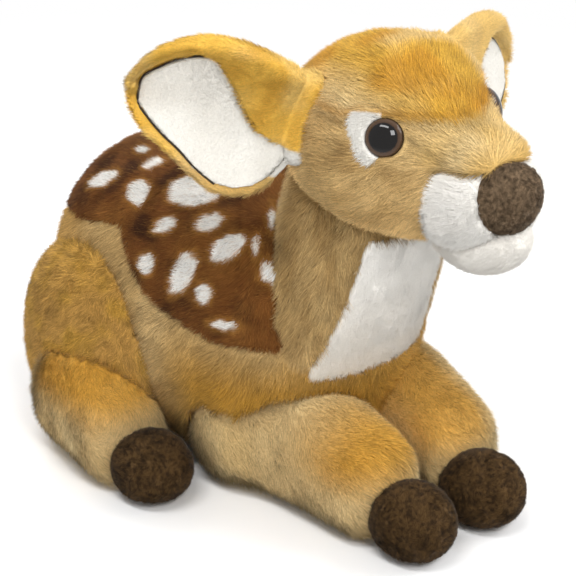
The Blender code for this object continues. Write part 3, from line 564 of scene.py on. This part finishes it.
def grow_fur(name, mesh, node, look, colour, flow, seed):
    """Coat of thin cones over a cover, as one mesh object."""
    places, normals, corners = read_mesh(mesh)
    a, b, c = (places[corners[:, k]] for k in range(3))
    areas = np.linalg.norm(np.cross(b - a, c - a), axis=1) / 2
    centres = (a + b + c) / 3
    shown = open_faces(places, corners, node, look["reach"])
    seated = np.zeros(len(corners), bool)
    if look["seat"]:
        seated = near_the_open(centres, shown) < look["seat"]
    weights = areas * np.where(seated, 0.8, shown)
    rng = np.random.default_rng(seed)
    count = int(weights.sum() * 1e4 * look["density"] * STRAND_SHARE)
    chosen = rng.choice(len(corners), count, p=weights / weights.sum())
    r1, r2 = np.sqrt(rng.random(count)), rng.random(count)
    shares = np.stack((1 - r1, r1 * (1 - r2), r1 * r2), 1)
    roots = (places[corners[chosen]] * shares[:, :, None]).sum(1)
    ups = unit((normals[corners[chosen]] * shares[:, :, None]).sum(1))
    combed = flow(roots)
    curl = swirl(look["curl_size"], seed + 50)(roots)
    combed = unit(combed) + look["curl"] * curl
    combed += look["stray"] * rng.normal(size=(count, 3))
    combed -= ups * (combed * ups).sum(1, keepdims=True)
    combed = unit(combed)
    tuft = noise(roots, look["curl_size"] * 0.6, seed + 60)
    length = look["length"] * (0.70 + 0.45 * rng.random(count)) * (0.85 + 0.3 * tuft)
    length *= np.where(seated[chosen], SEATED_SHARE, 1.0)
    if look["trim"] is not None:
        length *= look["trim"](roots)
    lift = np.radians(look["lift"]) * (0.65 + 0.7 * rng.random(count))
    droop = lift * look["droop"]
    half = length[:, None] / 2
    first = combed * np.cos(lift)[:, None] + ups * np.sin(lift)[:, None]
    second = combed * np.cos(droop)[:, None] + ups * np.sin(droop)[:, None]
    second = unit(second + 0.12 * rng.normal(size=(count, 3)))
    base = roots - ups * ROOT_DEPTH
    middle = base + first * half
    tip = middle + second * half
    across = unit(np.cross(ups, first) + 0.20 * ups * rng.normal(size=(count, 1)))
    wide = look["width"] * (0.75 + 0.5 * rng.random((count, 1))) / 2
    beside = np.cross(first, across)
    rows = [
        base + across * wide,
        base + (beside * 0.87 - across * 0.5) * wide,
        base - (beside * 0.87 + across * 0.5) * wide,
        tip,
    ]
    shown_at = roots + (tip - roots) * look["colour_reach"]
    keep = np.ones(count, bool)
    if look["clear_eyes"]:
        nearest = np.minimum(eye_distance(tip), eye_distance(middle))
        nearest = np.minimum(nearest, eye_distance(base))
        keep &= nearest > EYE_RADIUS * look["clear_eyes"]
    keep &= ~((ups[:, 2] < -0.5) & (roots[:, 2] < BARE_HEIGHT))
    rows = [row[keep] for row in rows]
    roots, ups, combed, shown_at = roots[keep], ups[keep], combed[keep], shown_at[keep]
    count = len(roots)
    points = np.stack(rows, 1)
    points[:, :, 2] = np.maximum(points[:, :, 2], FLOOR_CLEAR)
    shade = 1 + look["vary"] * rng.normal(size=(count, 1)) * 0.5
    shade += look["vary"] * (tuft[keep][:, None] - 0.5)
    tint = colour(shown_at) * np.clip(shade, 0.4, 1.6)
    tint /= np.maximum(tint.max(axis=1, keepdims=True), 1.0)
    tip_tint = tint.copy()
    if look["tips"] is not None:
        dark = rng.random(count) < look["tip_share"]
        tip_tint[dark] = tint[dark] * 0.35 + look["tips"] * 0.65
    # Strand feet are darkened as painted shade deep in the coat
    deep = root_shade_factor(tint, look["deep"])
    foot = tint * deep
    colours = np.stack((foot, foot, foot, tip_tint), 1)
    order = np.array((0, 1, 3, 1, 2, 3, 2, 0, 3))
    thin = np.array(((0, 0), (1, 0), (0.5, 1), (0.5, 2))) * 0.0004
    each = len(rows)
    flat = points.reshape(-1, 3)
    loops = (np.arange(count)[:, None] * each + order).ravel()
    coat = bpy.data.meshes.new(name)
    coat.vertices.add(len(flat))
    coat.vertices.foreach_set("co", flat.ravel())
    coat.loops.add(len(loops))
    coat.loops.foreach_set("vertex_index", loops)
    coat.polygons.add(len(loops) // 3)
    coat.polygons.foreach_set("loop_start", np.arange(0, len(loops), 3))
    coat.polygons.foreach_set("use_smooth", np.ones(len(loops) // 3, bool))
    coat.update(calc_edges=True)
    write_colours(coat, np.clip(colours.reshape(-1, 3), 0, 1))
    low = places.min(0) - look["length"]
    size = (places.max(0) + look["length"] - low).max()
    spread = box_map(flat, np.repeat(ups, each, axis=0), low, size)
    spread += np.tile(thin, (count, 1))
    sheet = coat.uv_layers.new(name="OFBake")
    sheet.data.foreach_set("uv", spread[loops].ravel().astype(np.float32))
    blend_normals = unit(0.75 * ups + 0.25 * np.cross(np.cross(combed, ups), combed))
    coat.normals_split_custom_set_from_vertices(np.repeat(blend_normals, each, axis=0).tolist())
    thing = link(bpy.data.objects.new(name, coat))
    coat.materials.append(look["material"])
    return thing


def make_cover(name, node, cover, colour, seed):
    """Stuffed skin over a CAD node, with its colours."""
    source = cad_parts[node]
    mesh = even_mesh(name, source, cover["voxel"], cover.get("rounds", 4), cover.get("plug"))
    places, normals, _ = read_mesh(mesh)
    flat_on_floor = (places[:, 2] < FLAT_HEIGHT) & (normals[:, 2] < -0.5)
    lift = COVER_PUFF + COVER_SWELL * (noise(places, 0.016, seed + 70) - 0.5)
    moved = places + normals * lift[:, None]
    moved[flat_on_floor] = places[flat_on_floor]
    moved[:, 2] = np.maximum(moved[:, 2], 0.0)
    mesh.vertices.foreach_set("co", moved.ravel())
    mesh.update()
    tint = colour(moved)
    # The cover is darkened like the strand feet, as painted shade under the coat
    write_colours(mesh, np.clip(tint * root_shade_factor(tint, cover.get("depth", 0.80)), 0, 1))
    mesh.materials.append(SKIN)
    thing = link(bpy.data.objects.new(name, mesh))
    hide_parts(node)
    return thing


# Materials


def new_material(name):
    material = bpy.data.materials.new(name)
    material.use_nodes = True
    return material, material.node_tree.nodes, material.node_tree.links


def plush_material(name, roughness, sheen, grain, bump, spread):
    """Fibres tinted by place, with fine grain in colour, roughness and relief."""
    material, nodes, links = new_material(name)
    shader = nodes["Principled BSDF"]
    shader.inputs["Specular IOR Level"].default_value = 0.15
    shader.inputs["Sheen Weight"].default_value = sheen
    shader.inputs["Sheen Roughness"].default_value = 0.45
    place = nodes.new("ShaderNodeTexCoord")
    grains = nodes.new("ShaderNodeTexNoise")
    grains.inputs["Scale"].default_value = grain
    grains.inputs["Detail"].default_value = 3.0
    links.new(place.outputs["Object"], grains.inputs["Vector"])
    tint = nodes.new("ShaderNodeVertexColor")
    tint.layer_name = "FurColour"
    strength = nodes.new("ShaderNodeMapRange")
    strength.inputs["To Min"].default_value = 1 - spread
    strength.inputs["To Max"].default_value = 1 + spread
    links.new(grains.outputs["Fac"], strength.inputs["Value"])
    scale = nodes.new("ShaderNodeVectorMath")
    scale.operation = "SCALE"
    links.new(tint.outputs["Color"], scale.inputs[0])
    links.new(strength.outputs["Result"], scale.inputs["Scale"])
    links.new(scale.outputs["Vector"], shader.inputs["Base Color"])
    rough = nodes.new("ShaderNodeMapRange")
    rough.inputs["To Min"].default_value = roughness - 0.08
    rough.inputs["To Max"].default_value = min(1.0, roughness + 0.08)
    links.new(grains.outputs["Fac"], rough.inputs["Value"])
    links.new(rough.outputs["Result"], shader.inputs["Roughness"])
    if bump:
        relief = nodes.new("ShaderNodeBump")
        relief.inputs["Strength"].default_value = bump
        relief.inputs["Distance"].default_value = 0.0008
        links.new(grains.outputs["Fac"], relief.inputs["Height"])
        links.new(relief.outputs["Normal"], shader.inputs["Normal"])
    return material


def eye_material(name, centre, axis):
    """Glossy eye: black pupil, brown ring and dark edge."""
    material, nodes, links = new_material(name)
    shader = nodes["Principled BSDF"]
    shader.inputs["Roughness"].default_value = 0.04
    shader.inputs["Specular IOR Level"].default_value = 0.28
    place = nodes.new("ShaderNodeTexCoord")
    offset = nodes.new("ShaderNodeVectorMath")
    offset.operation = "SUBTRACT"
    offset.inputs[1].default_value = centre
    links.new(place.outputs["Object"], offset.inputs[0])
    across = nodes.new("ShaderNodeVectorMath")
    across.operation = "CROSS_PRODUCT"
    across.inputs[1].default_value = axis
    links.new(offset.outputs["Vector"], across.inputs[0])
    length = nodes.new("ShaderNodeVectorMath")
    length.operation = "LENGTH"
    links.new(across.outputs["Vector"], length.inputs[0])
    share = nodes.new("ShaderNodeMath")
    share.operation = "DIVIDE"
    share.inputs[1].default_value = EYE_RADIUS
    links.new(length.outputs["Value"], share.inputs[0])
    streaks = nodes.new("ShaderNodeTexNoise")
    streaks.inputs["Scale"].default_value = 900.0
    links.new(place.outputs["Object"], streaks.inputs["Vector"])
    waver = nodes.new("ShaderNodeMath")
    waver.operation = "MULTIPLY_ADD"
    waver.inputs[1].default_value = 0.05
    links.new(streaks.outputs["Fac"], waver.inputs[0])
    links.new(share.outputs["Value"], waver.inputs[2])
    ramp = nodes.new("ShaderNodeValToRGB")
    ramp.color_ramp.elements[0].position = 0.74
    ramp.color_ramp.elements[0].color = (*PUPIL, 1)
    ramp.color_ramp.elements[1].position = 1.0
    ramp.color_ramp.elements[1].color = (*EYE_EDGE, 1)
    for position, colour in ((0.79, IRIS_INNER), (0.93, IRIS_OUTER)):
        step = ramp.color_ramp.elements.new(position)
        step.color = (*colour, 1)
    links.new(waver.outputs["Value"], ramp.inputs["Fac"])
    links.new(ramp.outputs["Color"], shader.inputs["Base Color"])
    return material


def moulded_material(name, colour):
    material, nodes, links = new_material(name)
    shader = nodes["Principled BSDF"]
    grains = nodes.new("ShaderNodeTexNoise")
    grains.inputs["Scale"].default_value = 600.0
    place = nodes.new("ShaderNodeTexCoord")
    links.new(place.outputs["Object"], grains.inputs["Vector"])
    ramp = nodes.new("ShaderNodeValToRGB")
    ramp.color_ramp.elements[0].color = (*(colour * 0.92), 1)
    ramp.color_ramp.elements[1].color = (*colour, 1)
    links.new(grains.outputs["Fac"], ramp.inputs["Fac"])
    links.new(ramp.outputs["Color"], shader.inputs["Base Color"])
    shader.inputs["Roughness"].default_value = 0.45
    return material


def seen_directly(nodes, links):
    """One for rays of the camera, reflections and see-through pieces, otherwise zero."""
    rays = nodes.new("ShaderNodeLightPath")
    first = nodes.new("ShaderNodeMath")
    first.operation = "MAXIMUM"
    links.new(rays.outputs["Is Camera Ray"], first.inputs[0])
    links.new(rays.outputs["Is Glossy Ray"], first.inputs[1])
    second = nodes.new("ShaderNodeMath")
    second.operation = "MAXIMUM"
    links.new(first.outputs["Value"], second.inputs[0])
    links.new(rays.outputs["Is Transmission Ray"], second.inputs[1])
    return second.outputs["Value"]


def floor_material(name):
    material, nodes, links = new_material(name)
    shader = nodes["Principled BSDF"]
    grains = nodes.new("ShaderNodeTexNoise")
    grains.inputs["Scale"].default_value = 6.0
    place = nodes.new("ShaderNodeTexCoord")
    links.new(place.outputs["Object"], grains.inputs["Vector"])
    ramp = nodes.new("ShaderNodeValToRGB")
    ramp.color_ramp.elements[0].color = (0.93, 0.93, 0.93, 1)
    ramp.color_ramp.elements[1].color = (0.95, 0.95, 0.95, 1)
    links.new(grains.outputs["Fac"], ramp.inputs["Fac"])
    links.new(ramp.outputs["Color"], shader.inputs["Base Color"])
    shader.inputs["Roughness"].default_value = 0.9
    shader.inputs["Specular IOR Level"].default_value = 0.1
    reach = nodes.new("ShaderNodeVectorMath")
    reach.operation = "LENGTH"
    links.new(place.outputs["Object"], reach.inputs[0])
    fade = nodes.new("ShaderNodeMapRange")
    fade.interpolation_type = "SMOOTHSTEP"
    fade.inputs["From Min"].default_value = 0.32
    fade.inputs["From Max"].default_value = 0.80
    links.new(reach.outputs["Value"], fade.inputs["Value"])
    amount = nodes.new("ShaderNodeMath")
    amount.operation = "MULTIPLY"
    links.new(fade.outputs["Result"], amount.inputs[0])
    links.new(seen_directly(nodes, links), amount.inputs[1])
    white = nodes.new("ShaderNodeEmission")
    white.inputs["Color"].default_value = (1, 1, 1, 1)
    white.inputs["Strength"].default_value = 1.0
    choose = nodes.new("ShaderNodeMixShader")
    links.new(amount.outputs["Value"], choose.inputs["Fac"])
    links.new(shader.outputs["BSDF"], choose.inputs[1])
    links.new(white.outputs["Emission"], choose.inputs[2])
    links.new(choose.outputs["Shader"], nodes["Material Output"].inputs["Surface"])
    return material


# Pieces


def make_furred(word, node, body, cover, look, colour, flow, seed):
    """Cover and coat of one stuffed piece."""
    base = make_cover(word + "_cover", node, cover, colour, seed)
    coat = grow_fur(word + "_fur", base.data, node, look, colour, flow, seed)
    for thing in (base, coat):
        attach(thing, body)


def make_eye(word, side):
    """Domed plastic eye with its rolled edge and a short stem."""
    centre = EYE_CENTRE * (side * -1, 1, 1)
    axis = EYE_AXIS * (side * -1, 1, 1)
    outline = [(0.0, -0.0150), (0.0022, -0.0150), (0.0022, -0.0012)]
    outline += [(EYE_RADIUS - 0.0009, -0.0008), (EYE_RADIUS - 0.0002, -0.0004)]
    for k in range(17):
        angle = math.pi / 2 * k / 16
        outline.append((EYE_RADIUS * math.cos(angle), EYE_DOME * math.sin(angle)))
    outward = Vector(axis)
    upper = (Vector((0, 0, 1)) - outward * outward.z).normalized()
    sideways = upper.cross(outward)
    segments = 64
    shape = bmesh.new()
    rings = []
    for radius, height in outline:
        middle = Vector(centre) + outward * height
        if radius < 1e-6:
            rings.append([shape.verts.new(middle)])
            continue
        ring = []
        for k in range(segments):
            angle = 2 * math.pi * k / segments
            turn = sideways * math.cos(angle) + upper * math.sin(angle)
            ring.append(shape.verts.new(middle + turn * radius))
        rings.append(ring)
    for low, high in zip(rings, rings[1:]):
        for k in range(segments):
            nxt = (k + 1) % segments
            if len(low) == 1:
                shape.faces.new((low[0], high[nxt], high[k]))
            elif len(high) == 1:
                shape.faces.new((low[k], low[nxt], high[0]))
            else:
                shape.faces.new((low[k], low[nxt], high[nxt], high[k]))
    bmesh.ops.recalc_face_normals(shape, faces=shape.faces[:])
    mesh = bpy.data.meshes.new("eye_dome_" + word)
    shape.to_mesh(mesh)
    shape.free()
    for polygon in mesh.polygons:
        polygon.use_smooth = True
    mesh.materials.append(eye_material("eye_" + word + "_gloss", tuple(centre), tuple(axis)))
    thing = link(bpy.data.objects.new("eye_dome_" + word, mesh))
    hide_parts("eye_" + word)
    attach(thing, "toy_body")


def edge_line_material(name):
    material, nodes, links = new_material(name)
    shader = nodes["Principled BSDF"]
    place = nodes.new("ShaderNodeTexCoord")
    line_grain = nodes.new("ShaderNodeTexNoise")
    line_grain.inputs["Scale"].default_value = 1800.0
    links.new(place.outputs["Object"], line_grain.inputs["Vector"])
    ramp = nodes.new("ShaderNodeValToRGB")
    ramp.color_ramp.elements[0].color = (*(EDGE_LINE_DARK * 0.6), 1)
    ramp.color_ramp.elements[1].color = (*(EDGE_LINE_DARK * 1.3), 1)
    links.new(line_grain.outputs["Fac"], ramp.inputs["Fac"])
    links.new(ramp.outputs["Color"], shader.inputs["Base Color"])
    shader.inputs["Roughness"].default_value = 0.85
    return material


def tube_mesh(name, path, radius, sides=8):
    """Closed tube along a row of places."""
    rows = []
    for k, place in enumerate(path):
        ahead = path[min(k + 1, len(path) - 1)] - path[max(k - 1, 0)]
        ahead = ahead / np.linalg.norm(ahead)
        first = np.cross(ahead, (0.3, 0.5, 0.81))
        first = first / np.linalg.norm(first)
        second = np.cross(ahead, first)
        ring = []
        for s in range(sides):
            angle = 2 * math.pi * s / sides
            ring.append(place + radius * (math.cos(angle) * first + math.sin(angle) * second))
        rows.append(ring)
    points = [tuple(p) for ring in rows for p in ring]
    faces = []
    for k in range(len(rows) - 1):
        for s in range(sides):
            nxt = (s + 1) % sides
            low, high = k * sides, (k + 1) * sides
            faces.append((low + s, low + nxt, high + nxt, high + s))
    faces.append(tuple(range(sides))[::-1])
    faces.append(tuple(range(len(points) - sides, len(points))))
    mesh = bpy.data.meshes.new(name)
    mesh.from_pydata(points, [], faces)
    for polygon in mesh.polygons:
        polygon.use_smooth = True
    return mesh


def rounded_path(corners, steps):
    """Smooth row of places through the given ones."""
    padded = np.concatenate((corners[:1], corners, corners[-1:]))
    path = []
    for k in range(len(corners) - 1):
        a, b, c, d = padded[k:k + 4]
        for s in range(steps):
            t = s / steps
            bend = 2 * b + (c - a) * t + (2 * a - 5 * b + 4 * c - d) * t**2
            path.append((bend + (3 * b - a - 3 * c + d) * t**3) / 2)
    path.append(corners[-1])
    return path


def make_edge_line(word):
    """Dark line along the free edge of an ear lining, as a thin tube."""
    _, _, upper, face = EAR_FRAMES[word]
    places, _, _ = read_mesh(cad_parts["ear_lining_" + word].data)
    reach, height, _ = in_ear(places, word)
    low, high = [], []
    for station in np.unique(np.round(reach / 0.0015)) * 0.0015:
        row = np.abs(reach - station) <= 0.00076
        if row.sum() < 20:
            continue
        for rows, sign, start in ((low, -1, 0.034), (high, 1, 0.026)):
            if station >= start:
                edge = row & (sign * height >= (sign * height[row]).max() - 0.0001)
                rows.append(places[edge].mean(0) + face * 0.0006 + upper * sign * 0.0003)
    path = rounded_path(np.array(low + high[::-1]), 6)
    mesh = tube_mesh("ear_edge_line_" + word, path, 0.0005)
    mesh.materials.append(edge_line_material("edge_line_dark_" + word))
    thing = link(bpy.data.objects.new("ear_edge_line_" + word, mesh))
    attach(thing, "ear_" + word)


# Root, direction, upper edge and open side of each ear
EAR_FRAMES = {
    "right": (
        (-0.0435, -0.1050, 0.2130),
        np.array((-0.85754, 0.46408, 0.22195)),
        np.array((0.1952, -0.10564, 0.97506)),
        np.array((-0.47595, -0.87947, 0.0)),
    ),
    "left": (
        (0.0435, -0.1050, 0.2130),
        np.array((0.9184, 0.31286, -0.24221)),
        np.array((0.16353, 0.25729, 0.9524)),
        np.array((0.36029, -0.91429, 0.18513)),
    ),
}

SKIN = plush_material("fur_backing", 0.9, 0.06, 900.0, 0.5, 0.14)
FIBRE = plush_material("fur_fibre", 0.82, 0.04, 1100.0, 0.0, 0.42)
NAP = plush_material("short_nap", 0.88, 0.05, 1400.0, 0.0, 0.40)
WHITE_FIBRE = plush_material("white_fibre", 0.9, 0.08, 1400.0, 0.0, 0.10)


def look_of(**changes):
    """Measures of a coat of fur; density is in strands per square centimetre."""
    look = {
        "density": 190,
        "length": 0.0085,
        "width": 0.00046,
        "lift": 38,
        "droop": 0.45,
        "curl": 0.45,
        "curl_size": 0.012,
        "stray": 0.16,
        "vary": 0.26,
        "reach": 0.0030,
        "colour_reach": 0.8,
        # Darkness of the strand feet, painted shade deep in the coat
        "deep": 0.72,
        "material": FIBRE,
        "seat": 0.0,
        "clear_eyes": 0.0,
        "tips": None,
        "tip_share": 0.0,
        "trim": None,
    }
    look.update(changes)
    return look


BODY_FUR = look_of(
    density=230, length=0.0068, width=0.00040, lift=44, vary=0.42,
    tips=DARK_TIP, tip_share=0.20,
)
SADDLE_FUR = look_of(
    density=330, length=0.0050, width=0.00038, lift=46, vary=0.45, curl=0.7,
    tips=HALO, tip_share=0.10,
)
HAUNCH_FUR = look_of(
    density=300,
    length=0.0055,
    width=0.00038,
    lift=58,
    curl=0.9,
    curl_size=0.005,
    stray=0.35,
    vary=0.45,
    tips=DARK_TIP,
    tip_share=0.30,
)
HEAD_FUR = look_of(
    density=290,
    length=0.0062,
    width=0.00036,
    lift=38,
    curl_size=0.014,
    vary=0.38,
    clear_eyes=0.98,
    tips=DARK_TIP,
    tip_share=0.22,
)
NECK_FUR = look_of(
    density=250, length=0.0070, width=0.00038, vary=0.45, tips=DARK_TIP, tip_share=0.30
)
LEG_FUR = look_of(
    density=270, length=0.0062, width=0.00036, lift=42, seat=0.012, vary=0.40, tips=DARK_TIP,
    tip_share=0.15,
)
TAIL_FUR = look_of(density=260, length=0.0062, width=0.00036, lift=44, seat=0.008)
WHITE_FUR = look_of(
    density=400, length=0.0050, width=0.00032, lift=40, vary=0.10, curl=0.5, deep=0.92,
    material=WHITE_FIBRE,
)
CHEST_FUR = look_of(
    density=340, length=0.0050, width=0.00034, lift=26, vary=0.03, curl=0.3,
    stray=0.12, deep=0.97, material=WHITE_FIBRE,
)
PATCH_FUR = look_of(
    density=380, length=0.0042, width=0.00034, lift=36, vary=0.05, clear_eyes=0.96, deep=0.93,
    material=WHITE_FIBRE,
)
EAR_FUR = look_of(
    density=360, length=0.0046, width=0.00034, lift=28, vary=0.12, curl=0.40,
    reach=0.0014, deep=0.92, seat=0.010,
)
LINING_NAP = look_of(
    density=520, length=0.0022, width=0.00034, lift=20, vary=0.05, curl=0.8,
    reach=0.0010, deep=0.98, material=WHITE_FIBRE,
)
HOOF_NAP = look_of(
    density=900, length=0.0026, width=0.00036, lift=46, curl=1.3, curl_size=0.0032,
    vary=0.6, deep=0.5, material=NAP,
)
NOSE_NAP = look_of(
    density=950, length=0.0020, width=0.00034, lift=48, curl=1.5, curl_size=0.0026,
    vary=0.6, deep=0.55, material=NAP,
)
CHIN_FUR = look_of(
    density=360, length=0.0040, width=0.00034, lift=26, vary=0.04, curl=0.3, deep=0.94,
    material=WHITE_FIBRE,
)

make_furred(
    "torso", "torso", "toy_body", {"voxel": 0.0030}, BODY_FUR, torso_colour, torso_flow, 101
)
make_furred(
    "saddle", "saddle_panel", "toy_body", {"voxel": 0.0014}, SADDLE_FUR, saddle_colour,
    torso_flow, 102,
)
make_furred(
    "neck", "neck", "toy_body", {"voxel": 0.0024}, NECK_FUR, neck_colour, steady(0, 0.15, -1), 103
)
make_furred(
    "chest", "chest_panel", "toy_body", {"voxel": 0.0014}, CHEST_FUR, chest_colour,
    steady(0, 0, -1), 104,
)
make_furred(
    "head", "head", "toy_body", {"voxel": 0.0020}, HEAD_FUR, head_colour,
    away_from((0.0, -0.215, 0.200), 0.15), 105,
)
make_furred(
    "muzzle", "muzzle", "toy_body", {"voxel": 0.0016}, WHITE_FUR, white_colour,
    away_from((0.0, -0.215, 0.195), 0.1), 106,
)
make_furred(
    "chin", "chin", "toy_body", {"voxel": 0.0016}, CHIN_FUR, chin_colour,
    away_from((0.0, -0.225, 0.172), 0.3), 107,
)
make_furred(
    "nose", "nose", "toy_body", {"voxel": 0.0012}, NOSE_NAP, nose_colour,
    swirl(0.006, 300), 108,
)
make_furred(
    "tail", "tail", "tail", {"voxel": 0.0018}, TAIL_FUR, tail_colour, steady(0, 0.6, -0.8), 109
)

SIDES = (("right", -1), ("left", 1))
for index, (word, side) in enumerate(SIDES):
    seed = 120 + 20 * index
    leg_body = "front_limb_" + word
    ear_body = "ear_" + word
    make_furred(
        "front_leg_" + word, "front_leg_" + word, leg_body, {"voxel": 0.0022}, LEG_FUR,
        front_leg_colour, leg_flow, seed,
    )
    make_furred(
        "front_hoof_" + word, "front_hoof_" + word, leg_body, {"voxel": 0.0016},
        HOOF_NAP, hoof_colour, swirl(0.008, seed + 300), seed + 1,
    )
    make_furred(
        "haunch_" + word, "haunch_" + word, "toy_body", {"voxel": 0.0026}, HAUNCH_FUR,
        haunch_colour, steady(side * 0.2, 0.25, -1), seed + 2,
    )
    make_furred(
        "hind_leg_" + word, "hind_leg_" + word, "toy_body", {"voxel": 0.0022}, LEG_FUR,
        hind_colour, steady(side * 0.35, -1, -0.35), seed + 3,
    )
    make_furred(
        "hind_hoof_" + word, "hind_hoof_" + word, "toy_body", {"voxel": 0.0016},
        HOOF_NAP, hoof_colour, swirl(0.008, seed + 320), seed + 4,
    )
    make_furred(
        "eye_patch_" + word, "eye_patch_" + word, "toy_body", {"voxel": 0.0009, "rounds": 2},
        PATCH_FUR, patch_colour, away_from((side * -0.01, -0.190, 0.222), 0.2), seed + 5,
    )
    along = EAR_FRAMES[word][1]
    make_edge_line(word)
    make_furred(
        "ear_outer_" + word, "ear_outer_" + word, ear_body,
        {"voxel": 0.0011, "rounds": 3, "plug": ear_plug(word)},
        {**EAR_FUR, "trim": lambda roots, mouth=ear_mouth(word): 1 - 0.55 * mouth(roots)},
        ear_colour(word), steady(*along), seed + 6,
    )
    make_furred(
        "ear_lining_" + word, "ear_lining_" + word, ear_body,
        # The depth entry sets the painted shade of this cover under the nap
        {"voxel": 0.0009, "rounds": 2, "depth": 0.94},
        LINING_NAP, lining_colour, steady(*along), seed + 7,
    )
    make_eye(word, side)
    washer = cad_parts["eye_washer_" + word]
    washer.data.materials.clear()
    washer.data.materials.append(moulded_material("washer_" + word, WASHER_GREY))


# Floor, lights, world and camera


def make_floor():
    shape = bmesh.new()
    bmesh.ops.create_grid(shape, x_segments=8, y_segments=8, size=6.0)
    mesh = bpy.data.meshes.new("studio_floor")
    shape.to_mesh(mesh)
    shape.free()
    mesh.materials.append(floor_material("studio_floor_pale"))
    thing = link(bpy.data.objects.new("studio_floor", mesh))
    thing.location.z = FLOOR_LEVEL


def make_lamp(name, place, size, power):
    data = bpy.data.lights.new(name, "AREA")
    data.shape = "RECTANGLE"
    data.size, data.size_y = size
    data.energy = power
    thing = link(bpy.data.objects.new(name, data))
    thing.location = place
    aim = Vector(LAMP_AIM) - Vector(place)
    thing.rotation_mode = "QUATERNION"
    thing.rotation_quaternion = aim.to_track_quat("-Z", "Y")


def make_world():
    world = bpy.data.worlds.new("studio")
    bpy.context.scene.world = world
    world.use_nodes = True
    nodes, links = world.node_tree.nodes, world.node_tree.links
    nodes.clear()
    fill = nodes.new("ShaderNodeBackground")
    fill.inputs["Color"].default_value = (1, 1, 1, 1)
    fill.inputs["Strength"].default_value = 0.54
    white = nodes.new("ShaderNodeBackground")
    white.inputs["Color"].default_value = (1, 1, 1, 1)
    white.inputs["Strength"].default_value = 1.0
    choose = nodes.new("ShaderNodeMixShader")
    links.new(seen_directly(nodes, links), choose.inputs["Fac"])
    links.new(fill.outputs[0], choose.inputs[1])
    links.new(white.outputs[0], choose.inputs[2])
    out = nodes.new("ShaderNodeOutputWorld")
    links.new(choose.outputs[0], out.inputs["Surface"])


def make_camera():
    back = Vector(
        (
            math.sin(AZIMUTH) * math.cos(ELEVATION),
            -math.cos(AZIMUTH) * math.cos(ELEVATION),
            math.sin(ELEVATION),
        )
    )
    data = bpy.data.cameras.new("camera")
    data.sensor_width = SENSOR
    data.lens = SENSOR * DISTANCE / (FRAME_PIXELS * METRES_PER_PIXEL)
    data.clip_start = 0.02
    thing = link(bpy.data.objects.new("camera", data))
    thing.location = AIM + back * DISTANCE
    thing.rotation_mode = "QUATERNION"
    thing.rotation_quaternion = (-back).to_track_quat("-Z", "Y")
    bpy.context.scene.camera = thing


make_floor()
make_lamp("key_light", (-0.72, -0.31, 1.55), (0.85, 0.22), 10.5)
make_lamp("front_light", (-0.50, -1.20, 1.15), (0.45, 0.45), 11.0)
make_lamp("side_light", (0.95, -0.75, 1.0), (0.9, 0.7), 9.5)
make_lamp("back_light", (0.2, 1.1, 1.1), (1.0, 0.7), 9.0)
make_world()
make_camera()
bpy.context.scene.view_settings.view_transform = "Standard"
